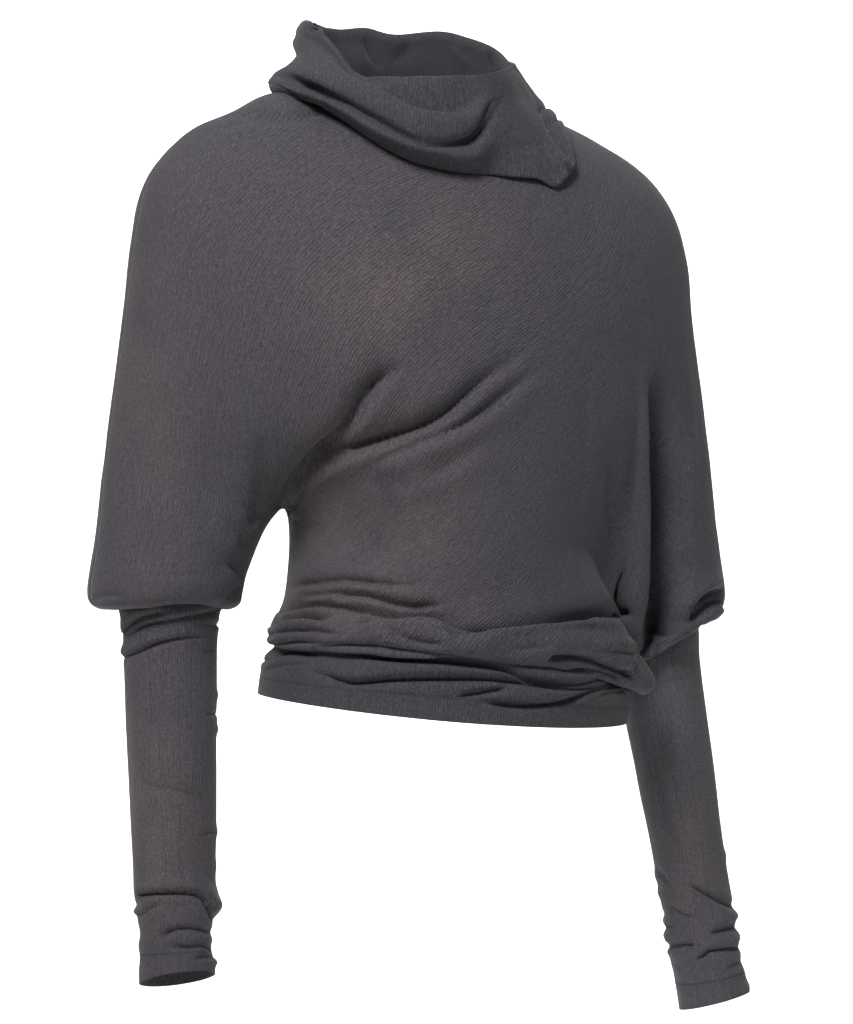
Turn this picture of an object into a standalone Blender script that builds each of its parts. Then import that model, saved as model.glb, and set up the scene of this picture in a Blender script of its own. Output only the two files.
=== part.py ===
"""Draped batwing jersey top, worn and hollow: bodice, lower sleeves, cowl collar and waistband.

Frame: metres, +Z up, front towards -Y, the wearer's left at +X, origin between the shoulders.
"""

import math
from collections import namedtuple

import bpy
import numpy as np

CLOTH = 0.0013
SEAM_GAP = 0.0003
NECK_GAP = 0.0009
TUCK_GAP = 0.0007

TORSO_COLUMNS = 10
SLEEVE_COLUMNS = 7
YOKE_ROWS = 14
BLOUSE_ROWS = 12
PUFF_ROWS = 10
FOREARM_ROWS = 20
COLLAR_COLUMNS = 60
COLLAR_ROWS = 27
NECK_EASE_ROWS = 4
BAND_ROWS = 8

SHOULDER_REACH = 0.9
SHOULDER_DROP = 1.5
ARM_DEPTH = 0.056
WEB_Y = -0.013
WEB_POINT = 0.35
WEB_EASE_REACH = 0.050
WEB_EASE_ROUNDS = 8

# One row for each ring of cloth from the neck down to the underarm: the height and half widths at
# the overarm seams, the front and back at the centre, and how far the ring is pinched into an
# arm on each side of the body, and where.
Yoke = namedtuple(
    "Yoke",
    "side_z right left front_y front_z back_y back_z lean "
    "fold_z pinch_right fold_right pinch_left fold_left",
)
YOKE = (
    Yoke(0.014, 0.076, 0.076, -0.082, -0.040, 0.062, 0.022, 0.000, 0.000, 0.00, 0.044, 0.00, 0.056),
    Yoke(0.010, 0.106, 0.102, -0.100, -0.068, 0.076, 0.006, 0.000, -0.020, 0.00, 0.050, 0.00, 0.078),
    Yoke(0.001, 0.139, 0.130, -0.112, -0.096, 0.087, -0.016, 0.000, -0.050, 0.00, 0.054, 0.00, 0.098),
    Yoke(-0.011, 0.171, 0.160, -0.119, -0.122, 0.094, -0.042, 0.000, -0.075, 0.00, 0.056, 0.00, 0.116),
    Yoke(-0.030, 0.194, 0.192, -0.123, -0.146, 0.098, -0.070, 0.000, -0.100, 0.00, 0.057, 0.00, 0.130),
    Yoke(-0.056, 0.2115, 0.216, -0.126, -0.170, 0.100, -0.098, 0.005, -0.130, 0.01, 0.058, 0.02, 0.140),
    Yoke(-0.090, 0.2190, 0.227, -0.128, -0.194, 0.101, -0.126, 0.010, -0.158, 0.03, 0.060, 0.06, 0.146),
    Yoke(-0.130, 0.2235, 0.231, -0.129, -0.220, 0.100, -0.158, 0.018, -0.190, 0.07, 0.066, 0.13, 0.149),
    Yoke(-0.170, 0.2285, 0.237, -0.129, -0.246, 0.098, -0.192, 0.028, -0.222, 0.15, 0.076, 0.25, 0.150),
    Yoke(-0.212, 0.2340, 0.244, -0.129, -0.272, 0.094, -0.228, 0.040, -0.254, 0.31, 0.088, 0.43, 0.150),
    Yoke(-0.252, 0.2395, 0.251, -0.129, -0.298, 0.089, -0.264, 0.052, -0.282, 0.62, 0.098, 0.71, 0.148),
    Yoke(-0.290, 0.2445, 0.256, -0.129, -0.324, 0.083, -0.300, 0.063, -0.310, 1.00, 0.106, 1.00, 0.145),
)

# One row for each ring of an upper sleeve from the underarm to the seam inside the elbow puff:
# distance of the inner and outer edges from the middle of the body, half depth and heights.
Puff = namedtuple("Puff", "inner outer depth inner_z outer_z")
PUFF_RIGHT = (
    Puff(0.1215, 0.2480, 0.058, -0.3250, -0.3170),
    Puff(0.1330, 0.2515, 0.060, -0.3440, -0.3390),
    Puff(0.1375, 0.2540, 0.061, -0.3590, -0.3570),
    Puff(0.1400, 0.2520, 0.059, -0.3690, -0.3675),
    Puff(0.1490, 0.2425, 0.049, -0.3730, -0.3725),
    Puff(0.1555, 0.2335, 0.041, -0.3700, -0.3695),
    Puff(0.1580, 0.2290, 0.0370, -0.3610, -0.3610),
)
PUFF_LEFT = (
    Puff(0.1520, 0.2590, 0.057, -0.3440, -0.3300),
    Puff(0.1550, 0.2620, 0.058, -0.3740, -0.3480),
    Puff(0.1570, 0.2635, 0.059, -0.4010, -0.3630),
    Puff(0.1590, 0.2600, 0.057, -0.4140, -0.3730),
    Puff(0.1650, 0.2510, 0.048, -0.4190, -0.3800),
    Puff(0.1700, 0.2440, 0.0390, -0.4140, -0.3790),
    Puff(0.1725, 0.2415, 0.0350, -0.4040, -0.3730),
)

# One row for each ring of the body below the underarm, down over the blousing roll and up inside
# it to the seam of the waistband.
Spot = namedtuple("Spot", "radius height")
Belt = namedtuple("Belt", "right left front_y back_y right_z left_z front_z back_z")
BLOUSE = (
    Belt(0.1045, 0.1430, -0.1280, 0.0770, -0.326, -0.340, -0.344, -0.330),
    Belt(0.1055, 0.1420, -0.1275, 0.0730, -0.352, -0.362, -0.364, -0.356),
    Belt(0.1085, 0.1450, -0.1300, 0.0750, -0.372, -0.379, -0.380, -0.374),
    Belt(0.1150, 0.1490, -0.1390, 0.0830, -0.384, -0.390, -0.388, -0.384),
    Belt(0.1205, 0.1510, -0.1440, 0.0880, -0.395, -0.410, -0.399, -0.396),
    Belt(0.1200, 0.1505, -0.1430, 0.0870, -0.403, -0.426, -0.408, -0.406),
    Belt(0.1165, 0.1480, -0.1390, 0.0830, -0.406, -0.431, -0.412, -0.409),
    Belt(0.1140, 0.1455, -0.1360, 0.0800, -0.401, -0.423, -0.406, -0.403),
    Belt(0.1130, 0.1445, -0.1350, 0.0790, -0.394, -0.413, -0.398, -0.395),
)
BAND = (
    Belt(0.1130, 0.1445, -0.1350, 0.0790, -0.394, -0.413, -0.398, -0.395),
    Belt(0.1125, 0.1440, -0.1350, 0.0785, -0.404, -0.426, -0.410, -0.406),
    Belt(0.1190, 0.1500, -0.1370, 0.0820, -0.414, -0.438, -0.423, -0.417),
    Belt(0.1255, 0.1590, -0.1400, 0.0860, -0.425, -0.450, -0.438, -0.431),
    Belt(0.1280, 0.1615, -0.1415, 0.0880, -0.437, -0.463, -0.456, -0.446),
)

# The collar's sections round the neck: an angle in degrees, 0 in front and 90 on the wearer's
# left, then in millimetres the radius and height of rim, turn, back of the roll, roll, belly,
# fold, hollow, lower roll and free edge.
COLLAR_SECTIONS = (
    (-162, 93, 81.3, 96.5, 76, 98, 70, 99, 63, 98.5, 54, 98, 44, 96.5, 34, 94.5, 20, 91, 7),
    (-137, 86, 83, 89.5, 79, 91, 74, 92.5, 68, 93.5, 60, 96, 50, 97.5, 40, 100, 26, 98, 12),
    (-112, 81.5, 76, 86.8, 71, 86.8, 65, 91.2, 59, 88.5, 46, 105, 36.5, 100.5, 31, 107, 27.5, 104.5, 23),
    (-90, 81.5, 71.5, 86.5, 66, 86.2, 60, 91.2, 54.5, 93, 43, 105, 32.5, 100, 26.5, 110.5, 23, 107.5, 17),
    (-77, 81.5, 64, 85.5, 58.5, 85.2, 52.5, 90.5, 49, 97, 40, 104, 29, 99, 22.5, 109, 16, 102, 9),
    (-62, 83, 47, 86.2, 43, 86.5, 38.5, 93, 36.8, 101, 28.5, 105, 19, 98.5, 12.5, 106, 7, 97, -1),
    (-49, 83.5, 24, 86.5, 20.5, 88.5, 16.5, 97.5, 23.2, 104.5, 15, 104, 7.5, 95.5, 1.6, 105, -7, 96.5, -17.8),
    (-37, 84, 23, 87, 16, 90, 7, 101, 14.9, 106.5, 6, 105, -2.5, 95, -9.8, 106, -20, 96.5, -30.2),
    (-21, 84, 22.5, 87.5, 11.5, 90.5, -6, 105, -1.5, 109.5, -8.5, 107.5, -17, 96, -24.6, 108, -32, 96.5, -42.8),
    (-7, 85, 23, 88, 11, 90.5, -8, 103, -5.5, 107.5, -12, 105, -21, 94, -28.2, 106, -37, 96.5, -47.5),
    (6, 86, 24.5, 87.5, 14, 90, 0, 96, -4, 100, -10, 98.5, -18, 92, -23.4, 103, -37, 96.5, -49),
    (20, 87, 27.5, 88.2, 22.5, 88.8, 18, 89.5, 13.5, 90, 10, 90, 6.8, 89.5, 4, 99, -22, 98.5, -49.2),
    (38, 83, 34, 85, 30, 86.2, 26, 87.5, 22, 89, 17.5, 90.5, 12.5, 92.5, 7, 101, -18, 113, -49.5),
    (53, 80, 39, 81.5, 35.5, 83, 31.5, 85, 27, 87.5, 21.5, 90.5, 15, 94.5, 8, 108, -12, 129, -40),
    (70, 78.5, 43, 80.5, 39.5, 82.5, 35.5, 85, 30.5, 88, 25, 91.5, 19, 95.5, 13, 102, 4, 111, -5.5),
    (90, 81, 51, 83.5, 47.5, 85.5, 43.5, 88, 38.5, 91, 33, 94.5, 27, 98.5, 21, 105, 15, 112, 10),
    (118, 92, 68, 95, 64, 97, 59, 99, 53.5, 100.5, 47, 101.5, 39, 103, 30, 105, 19, 107, 8),
    (143, 95, 78, 98, 73.5, 100, 68, 101.5, 62, 102, 54, 101.5, 44, 100.5, 34, 99, 21, 95.5, 6.5),
    (168, 88, 79, 91.5, 74.5, 94, 69, 95.5, 63, 96, 55, 95.5, 45, 94.5, 35, 92.5, 21, 88.5, 6.5),
    (180, 90, 84, 93.5, 79, 95.5, 73, 96.5, 66, 96.5, 57, 96, 46, 95, 35, 93, 21, 89, 7),
)
UNDER_CORNER_ANGLE = math.radians(44)
UNDER_CORNER_WIDTH = math.radians(9)
UNDER_CORNER_DROP = 0.008
STAND_IN = 0.004
RIM_TURN_IN = 0.0055
RIM_TURN_DOWN = 0.011

# One row for each station down a lower sleeve: the middle of the arm, its radius and how far the
# ring drops on its side at -X.
Forearm = namedtuple("Forearm", "along x y z radius drop")
FOREARM_RIGHT = (
    Forearm(0.0, -0.1935, 0.000, -0.3620, 0.0352, 0.000),
    Forearm(0.1, -0.1930, -0.002, -0.3920, 0.0354, 0.000),
    Forearm(0.5, -0.1945, -0.014, -0.5050, 0.0325, 0.000),
    Forearm(0.8, -0.1955, -0.024, -0.5900, 0.0303, 0.000),
    Forearm(1.0, -0.1970, -0.031, -0.6470, 0.0290, 0.000),
)
FOREARM_LEFT = (
    Forearm(0.0, 0.2070, 0.000, -0.3885, 0.0342, 0.0153),
    Forearm(0.1, 0.2110, -0.001, -0.4220, 0.0332, 0.0080),
    Forearm(0.5, 0.2310, -0.004, -0.5420, 0.0298, 0.000),
    Forearm(0.8, 0.2465, -0.007, -0.6320, 0.0277, 0.000),
    Forearm(1.0, 0.2570, -0.009, -0.6900, 0.0275, 0.000),
)

# One row for each gather round a lower sleeve: where it lies, its swell, its width and its slant.
Gather = namedtuple("Gather", "along swell width slant")
GATHERS_RIGHT = (
    Gather(0.045, 0.0016, 0.020, 0.010),
    Gather(0.105, -0.0014, 0.020, -0.012),
    Gather(0.680, 0.0012, 0.022, 0.006),
    Gather(0.745, -0.0012, 0.020, 0.010),
    Gather(0.795, 0.0018, 0.020, -0.008),
    Gather(0.850, -0.0018, 0.018, 0.014),
    Gather(0.900, 0.0018, 0.018, 0.010),
)
GATHERS_LEFT = (
    Gather(0.060, 0.0014, 0.022, -0.010),
    Gather(0.660, -0.0012, 0.022, 0.008),
    Gather(0.720, 0.0020, 0.020, 0.012),
    Gather(0.775, -0.0018, 0.020, -0.010),
    Gather(0.825, 0.0022, 0.020, 0.012),
    Gather(0.880, -0.0018, 0.018, 0.010),
    Gather(0.925, 0.0014, 0.018, -0.008),
)

# One row for each long fold of the bodice, seen square on to VIEW: across and height at its
# start, middle and end, how deep it lies in the cloth and how wide it is.
VIEW = math.radians(-22)
Fold = namedtuple("Fold", "start_u start_z middle_u middle_z end_u end_z depth width")
FRONT_FOLDS = (
    Fold(-0.062, -0.258, -0.020, -0.215, 0.060, -0.190, 0.005, 0.014),
    Fold(-0.045, -0.266, 0.040, -0.232, 0.110, -0.170, 0.004, 0.014),
    Fold(0.040, -0.226, 0.090, -0.190, 0.140, -0.168, 0.004, 0.012),
    Fold(0.166, -0.330, 0.160, -0.260, 0.150, -0.190, 0.006, 0.014),
    Fold(-0.160, -0.330, -0.155, -0.260, -0.150, -0.180, 0.004, 0.016),
)
BACK_FOLDS = (
    Fold(-0.100, -0.290, -0.040, -0.220, 0.030, -0.180, 0.007, 0.014),
    Fold(0.130, -0.300, 0.070, -0.230, 0.000, -0.190, 0.006, 0.014),
    Fold(-0.050, -0.300, 0.030, -0.270, 0.110, -0.280, 0.004, 0.014),
    Fold(-0.080, -0.100, 0.000, -0.130, 0.080, -0.100, 0.004, 0.016),
)

# Base colour of each piece, linear, and the roughness they share.
CHARCOAL = (0.085, 0.080, 0.085, 1.0)
CHARCOAL_BACK = (0.070, 0.067, 0.072, 1.0)
CHARCOAL_SLEEVE = (0.080, 0.077, 0.082, 1.0)
CHARCOAL_COLLAR = (0.058, 0.055, 0.060, 1.0)
CHARCOAL_BAND = (0.062, 0.059, 0.064, 1.0)
CLOTH_ROUGHNESS = 0.85


def smooth_rows(table, count):
    """Read a table's columns at count even steps along a smooth curve through its rows."""
    rows = np.array(table, dtype=float)
    steps = np.linspace(0.0, len(rows) - 1.0, count)
    whole = np.minimum(steps.astype(int), len(rows) - 2)
    part = (steps - whole)[:, None]
    before = rows[np.maximum(whole - 1, 0)]
    here = rows[whole]
    after = rows[whole + 1]
    beyond = rows[np.minimum(whole + 2, len(rows) - 1)]
    linear = (after - before) * part
    square = (2 * before - 5 * here + 4 * after - beyond) * part**2
    cube = (3 * here - before - 3 * after + beyond) * part**3
    mixed = here + 0.5 * (linear + square + cube)
    return [type(table[0])(*row) for row in mixed]


def blend(start, end, share):
    return start + (end - start) * share


def ease(value):
    value = min(max(value, 0.0), 1.0)
    return value * value * (3.0 - 2.0 * value)


def web_share():
    """Share of a half ring, from the centre outwards, that belongs to the body."""
    return TORSO_COLUMNS / (TORSO_COLUMNS + SLEEVE_COLUMNS)


def open_ring_point(row, share, face):
    """A point of a ring that runs round body and arms together; share is -1 to 1 across."""
    web = web_share()
    half = row.left if share > 0 else row.right
    fold_angle = math.asin((row.fold_left if share > 0 else row.fold_right) / half)
    angle = abs(share) / web * fold_angle
    if abs(share) > web:
        angle = blend(fold_angle, math.pi / 2, (abs(share) - web) / (1.0 - web))
    angle = math.copysign(angle, share)
    edge_y, edge_z = (row.front_y, row.front_z) if face < 0 else (row.back_y, row.back_z)
    reach = max(math.cos(angle), 0.0)
    return np.array((
        half * math.sin(angle),
        edge_y * reach**SHOULDER_REACH,
        blend(row.side_z, edge_z, reach**SHOULDER_DROP),
    ))


def pinched_ring_point(row, share, face):
    """A point of a ring that is pinched into a body and two arms."""
    web = web_share()
    side = 1.0 if share > 0 else -1.0
    fold_x = row.fold_left if share > 0 else row.fold_right
    half = row.left if share > 0 else row.right
    if abs(share) <= web:
        edge_y, edge_z = (row.front_y, row.front_z) if face < 0 else (row.back_y, row.back_z)
        angle = share / web * math.pi / 2
        reach = max(math.cos(angle), 0.0)
        middle = (row.fold_left - row.fold_right) / 2
        out = blend(abs(math.sin(angle)), abs(share) / web, WEB_POINT)
        x = middle + (side * fold_x - middle) * out
        return np.array((x, blend(WEB_Y, edge_y, reach), blend(row.fold_z, edge_z, reach)))
    angle = (abs(share) - web) / (1.0 - web) * math.pi
    round_out = (1.0 - math.cos(angle)) / 2
    out = blend(round_out, angle / math.pi, WEB_POINT * (1.0 - round_out))
    x = side * blend(fold_x, half, out)
    y = blend(WEB_Y, 0.0, out) + face * ARM_DEPTH * math.sin(angle)
    return np.array((x, y, blend(row.fold_z, row.side_z, out)))


def yoke_point(row, share, face):
    sway = ease(0.5 + share / 0.7)
    pinch = blend(row.pinch_right, row.pinch_left, sway)
    pinch = min(max(pinch, 0.0), 1.0)
    open_point = open_ring_point(row, share, face)
    point = blend(open_point, pinched_ring_point(row, share, face), pinch)
    point[2] -= row.lean * point[0]
    return point


def puff_point(row, side, angle):
    """A point of an upper sleeve's ring; the angle runs from the underarm round the front."""
    out = (1.0 - math.cos(angle)) / 2
    return np.array((
        side * blend(row.inner, row.outer, out),
        -row.depth * math.sin(angle),
        blend(row.inner_z, row.outer_z, out),
    ))


def belt_point(row, angle):
    """A point of a ring round the body; angle 0 is the front and a quarter turn the left side."""
    across = math.sin(angle)
    ahead = math.cos(angle)
    middle = (row.left - row.right) / 2
    half = (row.left + row.right) / 2
    middle_y = (row.front_y + row.back_y) / 2
    half_y = (row.back_y - row.front_y) / 2
    ends = (row.front_z + row.back_z) / 2
    sides = (row.left_z + row.right_z) / 2
    z = ends + (row.front_z - row.back_z) / 2 * ahead
    z += (row.left_z - row.right_z) / 2 * across + (sides - ends) * across**2
    return np.array((middle + half * across, middle_y - half_y * ahead, z))


class Sheet:
    """A surface without thickness: points, and faces that each belong to a named piece."""

    def __init__(self):
        self.points = []
        self.faces = []
        self.pieces = []
        self.crotches = []

    def add_ring(self, points):
        first = len(self.points)
        self.points.extend(points)
        return list(range(first, len(self.points)))

    def skin(self, upper, lower, pieces):
        """Join two closed rings of as many points, with a piece's name for each face."""
        count = len(upper)
        for here in range(count):
            after = (here + 1) % count
            self.faces.append((upper[here], lower[here], lower[after], upper[after]))
            self.pieces.append(pieces[here])

    def ease_round(self, corner, reach, rounds):
        """Draw the cloth near one point towards the mean of its neighbours, as a bent seam lies."""
        links = {}
        for face in self.faces:
            for start, end in zip(face, face[1:] + face[:1]):
                links.setdefault(start, set()).add(end)
                links.setdefault(end, set()).add(start)
        points = np.array(self.points)
        gaps = np.linalg.norm(points - points[corner], axis=1)
        near = [index for index in links if gaps[index] < reach]
        for _ in range(rounds):
            means = {index: points[list(links[index])].mean(axis=0) for index in near}
            for index, mean in means.items():
                points[index] += (mean - points[index]) * 0.5 * (1.0 - gaps[index] / reach)
        self.points = list(points)

    def normals(self):
        points = np.array(self.points)
        normals = np.zeros_like(points)
        for face in self.faces:
            corners = points[list(face)]
            normal = np.cross(corners[2] - corners[0], corners[3] - corners[1])
            for corner in face:
                normals[corner] += normal
        for corner in self.crotches:
            normals[corner] = (0.0, 0.0, -1.0)
        lengths = np.linalg.norm(normals, axis=1, keepdims=True)
        return normals / np.maximum(lengths, 1e-12)


def fold_offsets(points, normals, folds, azimuth):
    """How far each point moves along its normal for the folds seen from one side."""
    right = np.array((math.cos(azimuth), math.sin(azimuth)))
    toward = np.array((math.sin(azimuth), -math.cos(azimuth)))
    across = points[:, :2] @ right
    facing = np.clip(normals[:, :2] @ toward * 1.6, 0.0, 1.0)
    seen = np.stack((across, points[:, 2]), axis=1)
    offsets = np.zeros(len(points))
    steps = np.linspace(0.0, 1.0, 25)
    for fold in folds:
        start = np.array((fold.start_u, fold.start_z))
        middle = np.array((fold.middle_u, fold.middle_z))
        end = np.array((fold.end_u, fold.end_z))
        line = ((1 - steps) ** 2)[:, None] * start + (steps**2)[:, None] * end
        line += (2 * steps * (1 - steps))[:, None] * middle
        gaps = np.linalg.norm(seen[:, None, :] - line[None, :, :], axis=2)
        nearest = gaps.argmin(axis=1)
        taper = np.sin(np.pi * np.clip(steps[nearest], 0.04, 0.96)) ** 0.5
        trough = np.exp(-((gaps.min(axis=1) / fold.width) ** 2))
        offsets -= fold.depth * taper * trough * facing
    return offsets


def bodice_sheet():
    """Front and back as one surface, split where sleeves and body part at the underarms."""
    sheet = Sheet()
    half = TORSO_COLUMNS + SLEEVE_COLUMNS
    across = 2 * half
    around = 2 * across
    web_right = SLEEVE_COLUMNS
    web_left = across - SLEEVE_COLUMNS
    names = ["front_bodice" if column < across else "back_bodice" for column in range(around)]

    ring = None
    for row in smooth_rows(YOKE, YOKE_ROWS):
        points = []
        for column in range(around):
            face = -1.0 if column <= across else 1.0
            place = column if column <= across else around - column
            points.append(yoke_point(row, place / half - 1.0, face))
        lower = sheet.add_ring(points)
        if ring:
            sheet.skin(ring, lower, names)
        ring = lower

    first = len(sheet.faces) - around
    for back, front in ((around - web_right, web_right), (around - web_left, web_left)):
        for face in range(first, len(sheet.faces)):
            corners = [ring[front] if c == ring[back] else c for c in sheet.faces[face]]
            sheet.faces[face] = tuple(corners)
        ring[back] = ring[front]
        sheet.crotches.append(ring[front])

    right = [ring[column % around] for column in range(around - web_right, around + web_right)]
    right_names = ["back_bodice"] * web_right + ["front_bodice"] * web_right
    left = [ring[column] for column in range(web_left, around - web_left)]
    left_names = ["front_bodice"] * web_right + ["back_bodice"] * web_right
    body = [ring[column] for column in range(web_right, web_left)]
    body += [ring[column] for column in range(around - web_left, around - web_right)]
    body_names = ["front_bodice"] * (web_left - web_right)
    body_names += ["back_bodice"] * (web_left - web_right)

    turn = 2 * math.pi / len(right)
    for row in leg_rows(puff_start(-1), PUFF_RIGHT, PUFF_ROWS):
        points = [puff_point(row, -1, 2 * math.pi - turn * step) for step in range(len(right))]
        lower = sheet.add_ring(points)
        sheet.skin(right, lower, right_names)
        right = lower
    for row in leg_rows(puff_start(1), PUFF_LEFT, PUFF_ROWS):
        points = [puff_point(row, 1, turn * step) for step in range(len(left))]
        lower = sheet.add_ring(points)
        sheet.skin(left, lower, left_names)
        left = lower
    turn = 2 * math.pi / len(body)
    for row in leg_rows(blouse_start(), BLOUSE, BLOUSE_ROWS):
        points = [belt_point(row, turn * step - math.pi / 2) for step in range(len(body))]
        lower = sheet.add_ring(points)
        sheet.skin(body, lower, body_names)
        body = lower

    for crotch in sheet.crotches:
        sheet.ease_round(crotch, WEB_EASE_REACH, WEB_EASE_ROUNDS)
    points = np.array(sheet.points)
    normals = sheet.normals()
    offsets = fold_offsets(points, normals, FRONT_FOLDS, VIEW)
    offsets += fold_offsets(points, normals, BACK_FOLDS, math.pi - VIEW)
    sheet.points = list(points + normals * offsets[:, None])
    return sheet


def puff_start(side):
    """The sleeve's ring at the underarm, read from the last row of the yoke."""
    row = YOKE[-1]
    inner = row.fold_left if side > 0 else row.fold_right
    outer = row.left if side > 0 else row.right
    return Puff(
        inner,
        outer,
        ARM_DEPTH,
        row.fold_z - row.lean * side * inner,
        row.side_z - row.lean * side * outer,
    )


def blouse_start():
    """The body's ring at the underarm, read from the last row of the yoke."""
    row = YOKE[-1]
    return Belt(
        row.fold_right,
        row.fold_left,
        row.front_y,
        row.back_y,
        row.fold_z + row.lean * row.fold_right,
        row.fold_z - row.lean * row.fold_left,
        row.front_z,
        row.back_z,
    )


def leg_rows(start, table, count):
    """Rows below the underarm ring, which itself is already in place."""
    return smooth_rows((start,) + table, count + 1)[1:]


def forearm_points(row, gathers, columns):
    """A ring of a lower sleeve, square to its arm, swelled where it is gathered."""
    points = []
    for step in range(columns):
        angle = 2 * math.pi * step / columns
        radius = row.radius
        for gather in gathers:
            place = gather.along + gather.slant * math.sin(angle)
            gap = (row.along - place) / gather.width
            radius += gather.swell * math.exp(-gap * gap)
        points.append(np.array((
            row.x - radius * math.cos(angle),
            row.y - radius * math.sin(angle),
            row.z - row.drop * math.cos(angle),
        )))
    return points


def forearm_sheet(name, table, gathers):
    sheet = Sheet()
    columns = 2 * SLEEVE_COLUMNS
    ring = None
    stations = [row.along for row in table]
    for step in range(FOREARM_ROWS):
        along = step / (FOREARM_ROWS - 1)
        row = Forearm(*(np.interp(along, stations, column) for column in zip(*table)))
        lower = sheet.add_ring(forearm_points(row, gathers, columns))
        if ring:
            sheet.skin(ring, lower, [name] * columns)
        ring = lower
    return sheet


def collar_section(angle):
    """The collar's rim, folds and edge at one angle: rows of radius and height."""
    table = np.array(COLLAR_SECTIONS)
    turn = 2 * math.pi
    knots = np.radians(table[:, 0])
    knots = np.concatenate((knots[-2:] - turn, knots, knots[:2] + turn))
    values = np.concatenate((table[-2:, 1:], table[:, 1:], table[:2, 1:])) / 1000
    angle = (angle - knots[1]) % turn + knots[1]
    here = min(max(int(np.searchsorted(knots, angle, side="right")) - 1, 1), len(knots) - 3)
    step = knots[here + 1] - knots[here]
    share = (angle - knots[here]) / step
    leave = (values[here + 1] - values[here - 1]) / (knots[here + 1] - knots[here - 1]) * step
    arrive = (values[here + 2] - values[here]) / (knots[here + 2] - knots[here]) * step
    section = (1 + 2 * share) * (1 - share) ** 2 * values[here]
    section += share * (1 - share) ** 2 * leave
    section += share**2 * (3 - 2 * share) * values[here + 1]
    section += share**2 * (share - 1) * arrive
    section = section.reshape(-1, 2)
    gap = abs(math.remainder(angle - UNDER_CORNER_ANGLE, turn)) / UNDER_CORNER_WIDTH
    section[-1, 1] -= UNDER_CORNER_DROP * max(0.0, 1.0 - gap)
    return section


def collar_profile(angle):
    """The collar's way from the neck seam up its stand, over the rim and down to its edge."""
    neck = neck_point(angle)
    seam = np.array((math.hypot(neck[0], neck[1]), neck[2]))
    section = collar_section(angle)
    rim = section[0]
    low = blend(seam, rim, np.array((0.25, 0.40))) - np.array((STAND_IN, 0.0))
    high = rim - np.array((RIM_TURN_IN, RIM_TURN_DOWN))
    return smooth_rows([Spot(*spot) for spot in (seam, low, high, *section)], COLLAR_ROWS)


def collar_sheet():
    sheet = Sheet()
    angles = [2 * math.pi * step / COLLAR_COLUMNS for step in range(COLLAR_COLUMNS)]
    profiles = [collar_profile(angle) for angle in angles]
    ring = None
    for index in range(COLLAR_ROWS):
        points = []
        for angle, profile in zip(angles, profiles):
            seam = neck_point(angle)
            way = np.array((math.sin(angle), -math.cos(angle)))
            aside = seam[:2] - profile[0].radius * way
            spot = profile[index]
            level = spot.radius * way + aside * max(0.0, 1.0 - index / NECK_EASE_ROWS)
            points.append(np.array((level[0], level[1], spot.height)))
        lower = sheet.add_ring(points)
        if ring:
            sheet.skin(ring, lower, ["cowl_collar"] * COLLAR_COLUMNS)
        ring = lower
    return sheet


def neck_point(angle):
    """The bodice's neck edge, raised by the gap that the seam leaves."""
    row = YOKE[0]
    face_y, face_z = (row.front_y, row.front_z) if math.cos(angle) > 0 else (row.back_y, row.back_z)
    reach = abs(math.cos(angle))
    return np.array((
        (row.left if math.sin(angle) > 0 else row.right) * math.sin(angle),
        face_y * reach**SHOULDER_REACH,
        blend(row.side_z, face_z, reach**SHOULDER_DROP) + NECK_GAP,
    ))


def band_sheet():
    sheet = Sheet()
    columns = 4 * TORSO_COLUMNS
    ring = None
    for row in smooth_rows(BAND, BAND_ROWS):
        row = row._replace(
            right=row.right - TUCK_GAP,
            left=row.left - TUCK_GAP,
            front_y=row.front_y + TUCK_GAP,
            back_y=row.back_y - TUCK_GAP,
        )
        turn = 2 * math.pi / columns
        lower = sheet.add_ring([belt_point(row, turn * step) for step in range(columns)])
        if ring:
            sheet.skin(ring, lower, ["waistband"] * columns)
        ring = lower
    return sheet


def thicken(sheet, piece, normals):
    """One piece of a sheet as a closed wall: its outer points, its inner points and its edges."""
    own = [face for face, name in zip(sheet.faces, sheet.pieces) if name == piece]
    others = {corner for face, name in zip(sheet.faces, sheet.pieces) if name != piece
              for corner in face}
    used = sorted({corner for face in own for corner in face})
    place = {corner: index for index, corner in enumerate(used)}
    points = np.array(sheet.points)

    inward = {corner: np.zeros(3) for corner in used if corner in others}
    for face in own:
        centre = points[list(face)].mean(axis=0)
        for corner in face:
            if corner in inward:
                inward[corner] += centre - points[corner]

    outer = []
    for corner in used:
        point = points[corner].copy()
        if corner in inward:
            pull = inward[corner] - normals[corner] * np.dot(inward[corner], normals[corner])
            point += pull / np.linalg.norm(pull) * SEAM_GAP
        outer.append(point)
    inner = [point - normals[corner] * CLOTH for point, corner in zip(outer, used)]

    count = len(used)
    faces = []
    edges = {}
    for face in own:
        ring = [place[corner] for corner in face]
        for half in (ring[:3], [ring[0], ring[2], ring[3]]):
            faces.append(half)
            faces.append([corner + count for corner in reversed(half)])
        for start, end in zip(ring, ring[1:] + ring[:1]):
            edges[(start, end)] = True
    for start, end in edges:
        if (end, start) not in edges:
            faces.append([end, start, start + count, end + count])
    return outer + inner, faces


def cloth_material(name, colour):
    material = bpy.data.materials.new(name)
    material.use_nodes = True
    shader = material.node_tree.nodes["Principled BSDF"]
    shader.inputs["Base Color"].default_value = colour
    shader.inputs["Roughness"].default_value = CLOTH_ROUGHNESS
    shader.inputs["Metallic"].default_value = 0.0
    return material


def make_piece(sheet, piece, colour):
    points, faces = thicken(sheet, piece, sheet.normals())
    mesh = bpy.data.meshes.new(piece)
    mesh.from_pydata([tuple(point) for point in points], [], faces)
    mesh.validate()
    mesh.shade_smooth()
    mesh.set_sharp_from_angle(angle=math.radians(60))
    piece_object = bpy.data.objects.new(piece, mesh)
    piece_object.data.materials.append(cloth_material(piece + "_cloth", colour))
    bpy.context.collection.objects.link(piece_object)


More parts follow.
